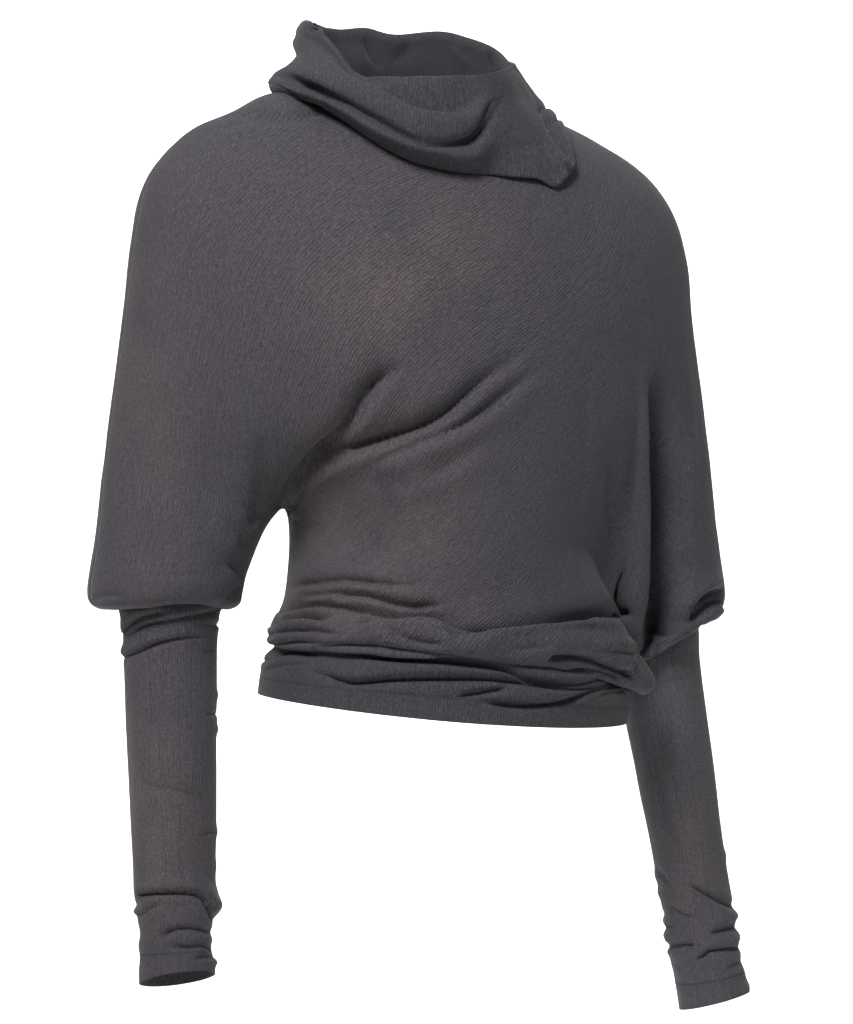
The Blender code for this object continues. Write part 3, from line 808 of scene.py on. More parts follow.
def web_ring_part(shape: np.ndarray, angle: np.ndarray, face: Values, point: float,
                  web_y: float) -> np.ndarray:
    """Half a sleeve's ring beside the underarm.

    Args:
        shape: inner, outer, depth, inner_z and outer_z of the ring.
        angle: 0 at the underarm to pi at the overarm seam.
        face: -1 for the front half, 1 for the back half.
        point: how pointed the ring is at the underarm.
        web_y: y of the underarm.

    Returns:
        Rows of distance from the middle, y and z.
    """
    inner, outer, depth, inner_z, outer_z = shape
    round_out = (1.0 - np.cos(angle)) / 2
    out = blend(round_out, angle / math.pi, point * (1.0 - round_out))
    y = blend(web_y, 0.0, out) + face * depth * np.sin(angle)
    return np.stack((blend(inner, outer, out), y, blend(inner_z, outer_z, out)), axis=-1)


def belt_ring(row: np.ndarray, angle: np.ndarray) -> np.ndarray:
    """A ring round the body.

    Args:
        row: x of the right and left sides, y of front and back, and z of right, left, front, back.
        angle: 0 in front and a quarter turn at the left side.

    Returns:
        Rows of x, y and z.
    """
    right, left, front_y, back_y, right_z, left_z, front_z, back_z = row
    across, ahead = np.sin(angle), np.cos(angle)
    ends, sides = (front_z + back_z) / 2, (left_z + right_z) / 2
    z = ends + (front_z - back_z) / 2 * ahead
    z = z + (left_z - right_z) / 2 * across + (sides - ends) * across**2
    x = (left - right) / 2 + (left + right) / 2 * across
    y = (front_y + back_y) / 2 - (back_y - front_y) / 2 * ahead
    return np.stack((x, y, z), axis=-1)


@dataclass
class Bodice:
    """Front and back: yoke, upper sleeves with their elbow puffs, and the bloused body."""

    torso_columns: int = 18
    sleeve_columns: int = 12
    yoke_rows: int = 25
    puff_rows: int = 22
    blouse_rows: int = 28
    shoulder_reach: float = 0.9
    shoulder_drop: float = 1.5
    arm_depth: float = 0.056
    web_y: float = -0.013
    web_point: float = 0.35
    pinch_sway: float = 0.7
    web_fade_rows: float = 6.0
    ease_reach: float = 0.050
    ease_rounds: int = 26
    neck_seam_x: float = 0.076
    overarm_slope: tuple[float, float] = (20.0, 25.0)
    overarm_run: float = 0.2
    neckline_drop: float = 0.04
    neckline_bow: float = 0.3
    # Millimetres, and lean and pinch in thousandths: side_z right left front_y front_z back_y
    # back_z lean fold_z pinch_right fold_right pinch_left fold_left
    yoke: tuple = (
        (14, 76, 76, -82, -40, 62, 22, 0, 0, 0, 44, 0, 56),
        (10, 106, 102, -100, -68, 76, 6, 0, -20, 0, 50, 0, 78),
        (1, 139, 130, -112, -96, 87, -16, 0, -50, 0, 54, 0, 98),
        (-11, 171, 160, -119, -122, 94, -42, 0, -75, 0, 56, 0, 116),
        (-30, 194, 192, -123, -146, 98, -70, 0, -100, 0, 57, 0, 130),
        (-56, 211.5, 216, -126, -170, 100, -98, 5, -130, 10, 58, 20, 140),
        (-90, 219, 227, -128, -194, 101, -126, 10, -158, 30, 60, 60, 146),
        (-130, 223.5, 231, -129, -220, 100, -158, 18, -190, 70, 66, 130, 149),
        (-170, 228.5, 237, -129, -246, 98, -192, 28, -222, 150, 76, 250, 150),
        (-212, 234, 244, -129, -272, 94, -228, 40, -254, 310, 88, 430, 150),
        (-252, 239.5, 251, -129, -298, 89, -264, 52, -282, 620, 98, 710, 148),
        (-290, 244.5, 256, -129, -324, 83, -300, 63, -310, 1000, 106, 1000, 145),
    )
    # Millimetres: inner outer depth inner_z outer_z
    puff_right: tuple = (
        (121.5, 248, 58, -325, -317),
        (133, 251.5, 60, -344, -339),
        (137.5, 254, 61, -359, -357),
        (140, 252, 59, -369, -367.5),
        (149, 242.5, 49, -373, -372.5),
        (155.5, 233.5, 41, -370, -369.5),
        (158, 229, 37, -361, -361),
    )
    puff_left: tuple = (
        (152, 259, 57, -344, -330),
        (155, 262, 58, -374, -348),
        (157, 263.5, 59, -401, -363),
        (159, 260, 57, -414, -373),
        (165, 251, 48, -419, -380),
        (170, 244, 39, -414, -379),
        (172.5, 241.5, 35, -404, -373),
    )
    # Millimetres: right left front_y back_y right_z left_z front_z back_z
    blouse: tuple = (
        (104.5, 147, -128, 77, -326, -340, -344, -330),
        (105.5, 147.5, -127.5, 73, -350, -360, -360, -354),
        (108.5, 149.5, -130, 75, -368, -375, -374, -371),
        (115, 151, -138, 83, -379, -386, -384, -381),
        (120.5, 152, -144, 88, -389, -406, -395, -392),
        (120, 151, -143, 87, -398, -424, -405, -402),
        (116.5, 148, -139, 83, -401, -431, -409, -405),
        (114, 145.5, -136, 80, -398, -423, -404, -400),
        (113, 144.5, -135, 79, -394, -413, -398, -395),
    )

    def open_half(self, row: np.ndarray, share: np.ndarray, side: float, face: float) -> np.ndarray:
        """Half a ring that runs round body and arms together.

        Args:
            row: a row of the yoke, in metres.
            share: 0 in the middle to 1 at the overarm seam.
            side: -1 for the right half, 1 for the left.
            face: -1 for the front, 1 for the back.

        Returns:
            Rows of x, y and z.
        """
        side_z, right, left, front_y, front_z, back_y, back_z = row[:7]
        web = self.torso_columns / (self.torso_columns + self.sleeve_columns)
        half, fold = (left, row[12]) if side > 0 else (right, row[10])
        fold_angle = math.asin(fold / half)
        inner = share / web * fold_angle
        outer = blend(fold_angle, math.pi / 2, (share - web) / (1.0 - web))
        angle = np.where(share > web, outer, inner)
        edge_y, edge_z = (front_y, front_z) if face < 0 else (back_y, back_z)
        reach = np.maximum(np.cos(angle), 0.0)
        return np.stack((
            side * half * np.sin(angle),
            edge_y * reach**self.shoulder_reach,
            blend(side_z, edge_z, reach**self.shoulder_drop),
        ), axis=-1)

    def pinched_half(self, row: np.ndarray, share: np.ndarray, side: float,
                     face: float) -> np.ndarray:
        """Half a ring that is pinched into a body and an arm.

        Args:
            row, share, side, face: as for open_half.

        Returns:
            Rows of x, y and z.
        """
        side_z, right, left, front_y, front_z, back_y, back_z, _, fold_z = row[:9]
        web = self.torso_columns / (self.torso_columns + self.sleeve_columns)
        half, fold = (left, row[12]) if side > 0 else (right, row[10])
        edge_y, edge_z = (front_y, front_z) if face < 0 else (back_y, back_z)
        angle = share / web * math.pi / 2
        reach = np.maximum(np.cos(angle), 0.0)
        middle = (row[12] - row[10]) / 2
        out = blend(np.sin(np.minimum(angle, math.pi / 2)), share / web, self.web_point)
        body = np.stack((
            middle + (side * fold - middle) * out,
            blend(self.web_y, edge_y, reach),
            blend(fold_z, edge_z, reach),
        ), axis=-1)
        turn = np.clip((share - web) / (1.0 - web), 0.0, 1.0) * math.pi
        shape = np.array((fold, half, self.arm_depth, fold_z, side_z))
        arm = web_ring_part(shape, turn, face, self.web_point, self.web_y)
        arm[:, 0] *= side
        return np.where((share <= web)[:, None], body, arm)

    def yoke_ring(self, row: np.ndarray) -> np.ndarray:
        """A whole ring of the yoke.

        Args:
            row: a row of the yoke, in metres.

        Returns:
            Rows of x, y and z, along the front from right to left and back behind.
        """
        half = self.torso_columns + self.sleeve_columns
        out = np.linspace(0.0, 1.0, half + 1)
        quarters = {}
        for side in (-1.0, 1.0):
            for face in (-1.0, 1.0):
                sway = ease(0.5 + side * out / self.pinch_sway)
                pinch = np.clip(blend(row[9], row[11], sway), 0.0, 1.0)[:, None]
                open_points = self.open_half(row, out, side, face)
                points = blend(open_points, self.pinched_half(row, out, side, face), pinch)
                points[:, 2] -= row[7] * points[:, 0]
                quarters[(side, face)] = points
        return np.concatenate((
            quarters[(-1, -1)][::-1], quarters[(1, -1)][1:],
            quarters[(1, 1)][::-1][1:], quarters[(-1, 1)][1:-1],
        ))

    def cloth(self) -> Cloth:
        """The whole surface, split where sleeves and body part at the underarms."""
        cloth = Cloth()
        across = 2 * (self.torso_columns + self.sleeve_columns)
        around = 2 * across
        web_right, web_left = self.sleeve_columns, across - self.sleeve_columns
        names = [FRONT_PIECE if column < across else BACK_PIECE for column in range(around)]
        rows = read_rows(self.yoke, self.yoke_rows) * MM
        ring, cut = self.add_yoke(cloth, rows, names)

        # Front and back become one point at each underarm.
        underarms = []
        for back, front in ((around - web_right, web_right), (around - web_left, web_left)):
            for number in range(len(cloth.quads) - around, len(cloth.quads)):
                cloth.quads[number] = tuple(
                    ring[front] if corner == ring[back] else corner for corner in cloth.quads[number]
                )
            ring[back] = ring[front]
            underarms.append(ring[front])

        for side, table, places in (
                (Side.RIGHT, self.puff_right,
                 [column % around for column in range(around - web_right, around + web_right)]),
                (Side.LEFT, self.puff_left, list(range(web_left, around - web_left)))):
            here = [np.array([cut[piece][place if place or piece == FRONT_PIECE else around]
                              for place in places + places[:1]]) for piece in (FRONT_PIECE, BACK_PIECE)]
            drop = np.array((side.value + 1.0, side.value - 1.0)) / 2
            cloth.hang(self.sleeve_rings(side, table, rows[-1]), [ring[place] for place in places],
                       here, [names[place] for place in places], drop)
        places = list(range(web_right, web_left)) + list(range(around - web_left, around - web_right))
        here = [np.array([flat[place] for place in places + places[:1]]) for flat in cut]
        here[BACK_PIECE][-1] = cut[BACK_PIECE][around - web_right]
        here[FRONT_PIECE][len(places) // 2] = cut[FRONT_PIECE][web_left]
        cloth.hang(self.body_rings(rows[-1]), [ring[place] for place in places], here,
                   [names[place] for place in places], np.array((1.0, -1.0)) / math.sqrt(2))
        for corner in underarms:
            cloth.ease_round(corner, self.ease_reach, self.ease_rounds)
        return cloth

    def add_yoke(self, cloth: Cloth, rows: np.ndarray, names: list[int]
                 ) -> tuple[list[int], list[np.ndarray]]:
        """Add the yoke from the neck down to the underarms.

        Args:
            cloth: the surface.
            rows: the yoke's rows, in metres.
            names: the piece of each column.

        Returns:
            The last ring's point numbers, and its flat places for each piece.
        """
        half = self.torso_columns + self.sleeve_columns
        ring, above, cut = None, None, None
        centre, seam, run = 0.0, np.array((self.neck_seam_x, 0.0)), 0.0
        for row in rows:
            points = self.yoke_ring(row)
            if ring is not None:
                centre += np.linalg.norm(points[half] - above[half])
                step = np.linalg.norm(points[0] - above[0])
                run += step
                start, change = self.overarm_slope
                slope = math.radians(start + change * float(ease(run / self.overarm_run)))
                seam = seam + step * np.array((math.cos(slope), -math.sin(slope)))
            new_cut = self.flat_ring(points, half, centre, seam)
            lower = cloth.add_ring(points)
            if ring is not None:
                cloth.skin(ring, lower, names, cut, new_cut)
            ring, above, cut = lower, points, new_cut
        return ring, cut

    def flat_ring(self, points: np.ndarray, half: int, centre: float, seam: np.ndarray) -> list:
        """The ring's places in the flat cut, turned so that x runs across the bias ribs.

        Args:
            points: the ring's points.
            half: how many columns a quarter of it has.
            centre: how far the ring lies below the neck, in the middle.
            seam: where its end lies on the overarm seam, flat.

        Returns:
            The places of each ring point, for the front piece and for the back piece.
        """
        cuts = []
        for piece in (FRONT_PIECE, BACK_PIECE):
            order = list(range(2 * half + 1)) if piece == FRONT_PIECE else (
                [column % (4 * half) for column in range(4 * half, 2 * half - 1, -1)])
            line = points[order]
            lengths = np.linalg.norm(np.diff(line, axis=0), axis=1)
            done = np.concatenate(((0.0,), np.cumsum(lengths)))
            share = np.where(
                np.arange(2 * half + 1) <= half,
                done / done[half] - 1.0,
                (done - done[half]) / (done[-1] - done[half]),
            )
            x = share * seam[0]
            soft = self.neckline_bow
            bow = (np.hypot(share, soft) - soft) / (math.hypot(1.0, soft) - soft)
            y = blend(-self.neckline_drop - centre, seam[1], bow)
            flat = np.stack((x - y, x + y), axis=1) / math.sqrt(2)
            full = np.zeros((4 * half + 1, 2))
            for place, column in enumerate(order):
                full[column] = flat[place]
            if piece == BACK_PIECE:
                full[4 * half] = flat[0]
            cuts.append(full)
        return cuts

    def sleeve_rings(self, side: Side, table: tuple, last: np.ndarray) -> list[np.ndarray]:
        """The rings of an upper sleeve, from the underarm to its seam within the puff.

        Args:
            side: the wearer's side.
            table: the sleeve's rows, in millimetres.
            last: the yoke's last row, in metres.

        Returns:
            The points of each ring.
        """
        sign = side.value
        fold, outer = (last[12], last[2]) if sign > 0 else (last[10], last[1])
        start = (fold, outer, self.arm_depth, last[8] - last[7] * sign * fold,
                 last[0] - last[7] * sign * outer)
        columns = 2 * self.sleeve_columns
        turn = 2 * math.pi * np.arange(columns) / columns
        angle = turn if sign > 0 else 2 * math.pi - turn
        folded = np.where(angle > math.pi, 2 * math.pi - angle, angle)
        face = np.where(angle > math.pi, 1.0, -1.0)
        rings = []
        rows = read_rows((np.array(start) / MM, *table), self.puff_rows + 1)[1:] * MM
        for number, row in enumerate(rows):
            fade = self.web_fade(number)
            points = web_ring_part(row, folded, face, self.web_point * fade, self.web_y * fade)
            points[:, 0] *= sign
            rings.append(points)
        return rings

    def body_rings(self, last: np.ndarray) -> list[np.ndarray]:
        """The rings of the body, from the underarms over the roll and up to the band's seam.

        Args:
            last: the yoke's last row, in metres.

        Returns:
            The points of each ring.
        """
        start = (last[10], last[12], last[3], last[5], last[8] + last[7] * last[10],
                 last[8] - last[7] * last[12], last[4], last[6])
        columns = 4 * self.torso_columns
        angle = 2 * math.pi * np.arange(columns) / columns - math.pi / 2
        rows = read_rows((np.array(start) / MM, *self.blouse), self.blouse_rows + 1)[1:] * MM
        return [blend(belt_ring(row, angle), self.pinched_belt(row, angle), self.web_fade(number))
                for number, row in enumerate(rows)]

    def web_fade(self, number: int) -> float:
        """How much of the underarm's point a ring below it still has."""
        return float(1.0 - ease((number + 1) / self.web_fade_rows))

    def pinched_belt(self, row: np.ndarray, angle: np.ndarray) -> np.ndarray:
        """The body's ring just below the underarms, still drawn to a point at each.

        Args:
            row, angle: as for belt_ring.

        Returns:
            Rows of x, y and z.
        """
        right, left, front_y, back_y, right_z, left_z, front_z, back_z = row
        from_side = np.abs(np.sin(angle))
        reach = np.abs(np.cos(angle))
        share = np.arcsin(np.clip(from_side, 0.0, 1.0)) / (math.pi / 2)
        out = np.sign(np.sin(angle)) * blend(from_side, share, self.web_point)
        middle = (left - right) / 2
        x = middle + (left + right) / 2 * out
        front = np.cos(angle) > 0
        side_z = np.where(np.sin(angle) > 0, left_z, right_z)
        return np.stack((
            x,
            blend(self.web_y, np.where(front, front_y, back_y), reach),
            blend(side_z, np.where(front, front_z, back_z), reach),
        ), axis=-1)

    def build(self, finish: RibJersey, back_finish: RibJersey) -> list[bpy.types.Object]:
        """Make the front and the back, each a creased shell of jersey.

        Args:
            finish: what the front wears.
            back_finish: what the back wears.

        Returns:
            The front and the back.
        """
        mesh = self.cloth().to_mesh("bodice", 2)
        swell_out(mesh, BODICE_SWELLS)
        press(mesh, BROAD_FOLDS)
        ripple(mesh, 1.1 * MM, (0.050, 0.050, 0.080), 3.7)
        press(mesh, FINE_FOLDS)
        ripple(mesh, 0.5 * MM, (0.016, 0.016, 0.030), 11.3)
        mark_sheer(mesh, SHEER_PATCHES)
        pieces = []
        for name, number, cloth in (("front_bodice", FRONT_PIECE, finish),
                                    ("back_bodice", BACK_PIECE, back_finish)):
            piece = shell(name + "_cloth", keep_piece(mesh, number), cloth.build())
            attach(piece, "root")
            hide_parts(name)
            pieces.append(piece)
        bpy.data.meshes.remove(mesh)
        return pieces


@dataclass
class Tube:
    """A closed belt of cloth read from a table of rings, with its ribs up and down."""

    name: str
    table: tuple
    columns: int
    rows: int
    creases: tuple[Crease, ...]
    rolls: tuple[Crease, ...] = ()
    patches: tuple[SheerPatch, ...] = ()
    hem: float = 0.0
    uneven: float = 0.6 * MM
    uneven_size: tuple[float, float, float] = (0.030, 0.030, 0.014)
    seed: float = 8.9

    def ring(self, row: np.ndarray, along: float, angle: np.ndarray) -> np.ndarray:
        """One ring of the belt."""
        return belt_ring(row, angle)

    def stations(self) -> np.ndarray:
        """The table's values at each ring, in metres."""
        return read_rows(self.table, self.rows) * MM

    def rings(self) -> list[np.ndarray]:
        """The rings from top to free edge."""
        angle = 2 * math.pi * np.arange(self.columns) / self.columns
        return [self.ring(row, number / (self.rows - 1), angle)
                for number, row in enumerate(self.stations())]

    def heights(self, rings: list[np.ndarray]) -> np.ndarray:
        """How far each ring lies from the last, the free edge."""
        gaps = [np.linalg.norm(low - high, axis=1).mean() for high, low in zip(rings, rings[1:])]
        return np.concatenate((np.cumsum(gaps[::-1])[::-1], (0.0,)))

    def girth(self, rings: list[np.ndarray]) -> float:
        """The mean way round the rings."""
        return np.mean([np.linalg.norm(np.roll(r, -1, axis=0) - r, axis=1).sum() for r in rings])

    def cloth(self) -> Cloth:
        """The belt's surface; the pattern's y is the distance from the free edge."""
        cloth = Cloth()
        rings = self.rings()
        across = np.linspace(0.0, self.girth(rings), self.columns + 1)
        lower, cut = None, None
        for points, height in zip(rings, self.heights(rings)):
            new_cut = [np.stack((across, np.full(self.columns + 1, height)), axis=1)]
            ring = cloth.add_ring(points)
            if lower is not None:
                cloth.skin(lower, ring, [0] * self.columns, cut, new_cut)
            lower, cut = ring, new_cut
        return cloth

    def sew(self, mesh: bpy.types.Mesh, stitches: Stitches) -> bpy.types.Object:
        """Sew both rows of a twin needle round the hem of a creased belt.

        Args:
            mesh: the creased belt.
            stitches: the kind of stitch.

        Returns:
            The stitches.
        """
        surface = BVHTree.FromPolygons([vertex.co for vertex in mesh.vertices],
                                       [quad.vertices for quad in mesh.polygons])
        rings = self.rings()
        reached = self.heights(rings)
        rows = []
        for height in (self.hem, self.hem - NEEDLE_GAP):
            lower = int(np.argmax(reached < height))
            share = (reached[lower - 1] - height) / (reached[lower - 1] - reached[lower])
            found = [surface.find_nearest(Vector(point))
                     for point in blend(rings[lower - 1], rings[lower], share)]
            rows.append([place + normal * stitches.thickness * stitches.raised
                         for place, normal, *_ in found])
        sewn = stitches.lay(self.name + "_stitches", rows)
        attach(sewn, "root")
        return sewn

    def build(self, finish: RibJersey, stitches: Stitches) -> list[bpy.types.Object]:
        """Make the piece that stands for the belt's solid, and its stitches.

        Args:
            finish: what the cloth wears.
            stitches: the kind of stitch its hem has.

        Returns:
            The cloth, and the stitches where it has a hem.
        """
        mesh = self.cloth().to_mesh(self.name, 1)
        press(mesh, self.rolls)
        ripple(mesh, self.uneven, self.uneven_size, self.seed)
        press(mesh, self.creases)
        mark_sheer(mesh, self.patches)
        sewn = [self.sew(mesh, stitches)] if self.hem else []
        piece = shell(self.name + "_cloth", mesh, finish.build())
        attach(piece, "root")
        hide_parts(self.name)
        return [piece, *sewn]


@dataclass
class LowerSleeve(Tube):
    """A long tight lower sleeve, pushed up into gathers at elbow and wrist."""

    hem: float = CUFF_HEM
    uneven: float = 0.7 * MM
    uneven_size: tuple[float, float, float] = (0.020, 0.020, 0.045)
    seed: float = 5.1
    gathers: tuple = ()

    def ring(self, row: np.ndarray, along: float, angle: np.ndarray) -> np.ndarray:
        """One ring, square to the arm, swelled where it is gathered.

        Args:
            row: share of the way along, x, y, z, radius, drop and raised front.
            along: the ring's own share of the way.
            angle: 0 towards -x and a quarter turn in front.

        Returns:
            Rows of x, y and z.
        """
        _, x, y, z, radius, drop, raised = row
        swell = np.zeros_like(angle)
        for place, height, width, slant, centre, reach in self.gathers:
            gap = (along - place - slant * np.sin(angle - centre)) / width
            turn = np.remainder(angle - centre + math.pi, 2 * math.pi) - math.pi
            swell += height * MM * np.exp(-gap**2) * np.exp(-((turn / reach) ** 2))
        out = radius + swell
        return np.stack((x - out * np.cos(angle), y - out * np.sin(angle),
                         z - drop * np.cos(angle) + raised * np.sin(angle)), axis=-1)

    def stations(self) -> np.ndarray:
        """The table's values at rings that are spread evenly down the arm, in metres."""
        table = np.array(self.table)
        along = np.linspace(0.0, 1.0, self.rows)
        return np.stack([np.interp(along, table[:, 0], column) for column in table.T], axis=1) * MM


@dataclass
class Waistband(Tube):
    """The ribbed band under the blousing roll, with a turned and stitched hem."""

    hem: float = BAND_HEM
    tuck: float = 0.7 * MM

    def ring(self, row: np.ndarray, along: float, angle: np.ndarray) -> np.ndarray:
        """One ring, drawn in by the gap that keeps it clear of the bodice."""
        right, left, front_y, back_y, *heights = row
        return belt_ring(np.array((right - self.tuck, left - self.tuck, front_y + self.tuck,
                                   back_y - self.tuck, *heights)), angle)


@dataclass
class CowlCollar(Tube):
    """The cowl: a stand, a rim and a folded layer with a soft near roll and a turned corner.

    Its sections stand round the neck. Each gives an angle in degrees, 0 in front and 90 on the
    left, and then, in millimetres, how far out and how high these lie: rim, turn, back of the
    roll, roll, belly, fold, hollow, lower roll and free edge.
    """

    uneven: float = 0.9 * MM
    uneven_size: tuple[float, float, float] = (0.030, 0.030, 0.030)
    seed: float = 2.3
    cut_width: float = 0.60
    lift: float = 0.9 * MM
    held_rows: int = 8
    stand_shares: tuple[float, float] = (0.25, 0.40)
    stand_in: float = 4 * MM
    rim_turn: tuple[float, float] = (5.5 * MM, 11 * MM)
    under_corner: float = math.radians(44)
    under_width: float = math.radians(6)
    under_drop: float = 11 * MM

    def section(self, angle: float) -> np.ndarray:
        """The rim, folds and edge at one angle, on a smooth curve through the sections.

        Args:
            angle: in radians, 0 in front.

        Returns:
            Rows of radius and height.
        """
        table = np.array(self.table, dtype=float)
        knots, values = np.radians(table[:, 0]), table[:, 1:] * MM
        turn = 2 * math.pi
        knots = np.concatenate((knots[-2:] - turn, knots, knots[:2] + turn))
        values = np.concatenate((values[-2:], values, values[:2]))
        angle = (angle - knots[1]) % turn + knots[1]
        here = min(max(int(np.searchsorted(knots, angle, side="right")) - 1, 1), len(knots) - 3)
        step = knots[here + 1] - knots[here]
        part = (angle - knots[here]) / step
        start = (values[here + 1] - values[here - 1]) / (knots[here + 1] - knots[here - 1]) * step
        end = (values[here + 2] - values[here]) / (knots[here + 2] - knots[here]) * step
        mixed = ((1 + 2 * part) * (1 - part) ** 2 * values[here] + part * (1 - part) ** 2 * start
                 + part**2 * (3 - 2 * part) * values[here + 1] + part**2 * (part - 1) * end)
        return mixed.reshape(-1, 2)

    def neck(self, angle: float) -> np.ndarray:
        """The bodice's neck edge, raised by the seam's gap.

        Args:
            angle: in radians, 0 in front.

        Returns:
            Its x, y and z.
        """
        row = np.array(Bodice.yoke[0]) * MM
        front = math.cos(angle) > 0
        reach = abs(math.cos(angle))
        half = row[2] if math.sin(angle) > 0 else row[1]
        return np.array((
            half * math.sin(angle),
            (row[3] if front else row[5]) * reach**Bodice.shoulder_reach,
            blend(row[0], row[4] if front else row[6], reach**Bodice.shoulder_drop) + self.lift,
        ))

    def line(self, angle: float) -> np.ndarray:
        """One column of the collar.

        Args:
            angle: in radians, 0 in front.

        Returns:
            The points from the neck seam up the stand, over the rim and down to the edge.
        """
        seam = self.neck(angle)
        neck, outer = np.array((math.hypot(seam[0], seam[1]), seam[2])), self.section(angle)
        rim = outer[0]
        low = blend(neck, rim, np.array(self.stand_shares)) - np.array((self.stand_in, 0.0))
        high = rim - np.array(self.rim_turn)
        gap = (angle - self.under_corner + math.pi) % (2 * math.pi) - math.pi
        outer[-1, 1] -= self.under_drop * max(0.0, 1.0 - abs(gap) / self.under_width)
        profile = read_rows((neck, low, high, *outer), self.rows)
        way = np.array((math.sin(angle), -math.cos(angle)))
        held = np.clip(1.0 - np.arange(self.rows) / self.held_rows, 0.0, 1.0)
        level = profile[:, :1] * way + held[:, None] * (seam[:2] - neck[0] * way)
        return np.concatenate((level, profile[:, 1:]), axis=1)

    def rings(self) -> list[np.ndarray]:
        """The rings from the neck seam to the free edge."""
        angles = 2 * math.pi * np.arange(self.columns) / self.columns
        return list(np.array([self.line(angle) for angle in angles]).transpose(1, 0, 2))

    def girth(self, rings: list[np.ndarray]) -> float:
        """The width of the collar's cut."""
        return self.cut_width


# Creases: depth width below above tuck steep around, then span, fade and seen by
# name, a colon, and the pixels of the route.
BACK_BROAD = read_creases("""
    8 12 5 seen=BACK: 285,500 330,440 400,370 500,300;
    7 12 4 seen=BACK: 600,480 560,400 490,330 420,280;
    4 12 2 seen=BACK: 340,500 430,460 520,440;
    12 11 5 span=.1,.2 fade=.5,.02 seen=BACK: 650,400 650,470 652,560 648,640;
    3 16 1.5 fade=.4,.4 seen=BACK: 330,230 380,330 420,420;
""")
BROAD_FOLDS = read_creases("""
    15 8 6 2 0 .5 fade=.02,.22: 284,516 290,498 303,478 321,459 341,438 355,418 364,404 375,388 386,377
        397,371 408,368;
    14 8 5.5 1.5 0 .5 fade=.12,.5: 306,476 323,463 340,455 362,446 384,440 406,433 430,424 450,412
        466,398 484,382 506,366 528,348 543,332;
    8 7 3.5 1 fade=.3,.4: 360,470 384,459 406,449 433,438 461,426 487,409 509,392 531,376 553,360;
    3.2 9 fade=.4,.4: 410,486 449,466 477,447 504,433;
    -2.2 14 fade=.4,.5: 340,540 400,505 470,470 540,440;
    4.6 9 1.5 1.6 span=.1,.19 fade=.4,.6: 609,426 607,500 609,545 613,582;
    32 15 14 0 0 .4 span=.1,.21 fade=.3,.02: 660,350 655,400 653,460 655,506 656,552 652,600 648,655;
    -4 4 span=.1,.2 fade=.5,.1: 632,350 640,420 645,495 646,560 640,620;
    2.2 10 fade=.5,.5: 206,385 209,450 205,555;
    -2.4 9 fade=.5,.5: 238,380 246,450 240,520;
    2.6 8 1 fade=.5,.1: 262,420 262,470 252,530;
    1.6 16 fade=.5,.5: 150,330 140,430 150,540;
    1.8 8 1 fade=.4,.4: 690,330 700,430 702,540;
""") + BACK_BROAD
FINE_FOLDS = read_creases("""
    5 3.6 2.8 1 fade=.1,.5: 285,590 297,586 323,583 347,581 370,583 396,586 440,584;
    2.6 3 1.6 .6: 300,600 318,596 338,594 356,596;
    5.4 3.6 3 1: 328,601 355,596 375,599 396,605 420,607 450,604;
    6 3.6 3.6 1 0 .6 .2 fade=.03,.3: 276,614 289,610 313,607 336,608 365,613 390,615;
    6.4 3.6 4 1.2 0 .6 .3 fade=.02,.3: 268,628 279,622 302,619 323,620 338,615;
    13 5.4 7.5 1 3.5 fade=.12,.02: 350,627 366,623 381,621 403,621 420,620 434,621 446,625 459,629
        477,631.5 496,630 532,626 557,624.5 587,620 616,617 628,616;
    5.6 3.4 3 1.8 0 .6 .3 fade=.02,.4: 262,638 272,634 290,632 320,632 352,637;
    4.4 3 2.2 1.6 0 .6 .3 fade=.02,.5: 264,648 280,644 302,642 330,644;
    5.4 4.2 3: 378,631 392,636 407,641 428,645 450,647;
    6 5 2.4: 438,633 457,640 476,637 496,634;
    4.6 3.2 2.6 1.8 fade=.2,.2: 310,648 338,646 365,647 395,649 447,656 487,662 513,669;
    9 4 2.4 4.6 fade=.2,.02: 544,663 556,659 570,658 587,660 608,667 630,676;
    5 3.4 1.4 2.8 fade=.3,.05: 560,674 580,670 600,672 620,680;
    3.4 6 0 1.8 fade=.4,.2: 480,646 520,641 560,636 600,634 622,646;
    2.4 4 0 1.4 fade=.3,.2: 628,628 634,644 642,660 648,676;
    2.4 4 1.4 fade=.4,.4: 500,652 530,650 560,646;
    2.4 4 1.6 span=-.3,-.1: 227,562 238,573 246,583;
    2.2 3.5 1 span=-.3,-.1: 239,532 242,541 244,552;
    2.2 4 1 span=-.3,-.1: 254,548 262,545 272,530;
    2 4 1 span=-.3,-.1: 248,524 256,521 270,512;
    4.2 4 1.6 2.2 fade=.4,.05: 205,124 235,116 262,117 290,119 322,112;
    2.4 4 1.2 1: 215,133 240,124 268,122 300,128;
    9 5.6 6 0 0 .5 span=.15,.3 fade=.15,.3: 728,588 716,591 705,597 697,607 691,618 687,629;
    7.5 3 .6 4 0 .6 .9 span=.15,.3 fade=.02,.3: 720,601 714,603 707,608 699,616 692,624;
    5 3.4 0 1 0 .6 .7 span=.15,.3 fade=.02,.3: 722,622 712,622 704,626 698,631;
    3 4 2 span=.14,.3: 655,640 658,648 653,662;
    2.2 4 1.6 span=-.3,-.1 fade=.05,.4: 95,600 104,596 118,597 130,601;
    .8 3 .6 span=-.3,-.1: 136,578 160,576 185,577 209,577;
    2.6 4 1.2 .8 span=-.3,-.1 fade=.05,.5: 218,606 230,598 238,588 240,572;
    2.4 5 1.4 seen=BACK: 300,590 380,580 470,590;
    3 5 2 seen=BACK: 320,606 400,612 520,604;
    6.5 5.5 4.5 0 1.5 seen=BACK: 280,625 380,628 500,622 610,618;
    2.4 5 1.4 seen=BACK: 300,646 380,640 460,648;
    2.4 4 1.6 span=-.3,-.1 seen=BACK: 227,562 238,573 246,583;
""")
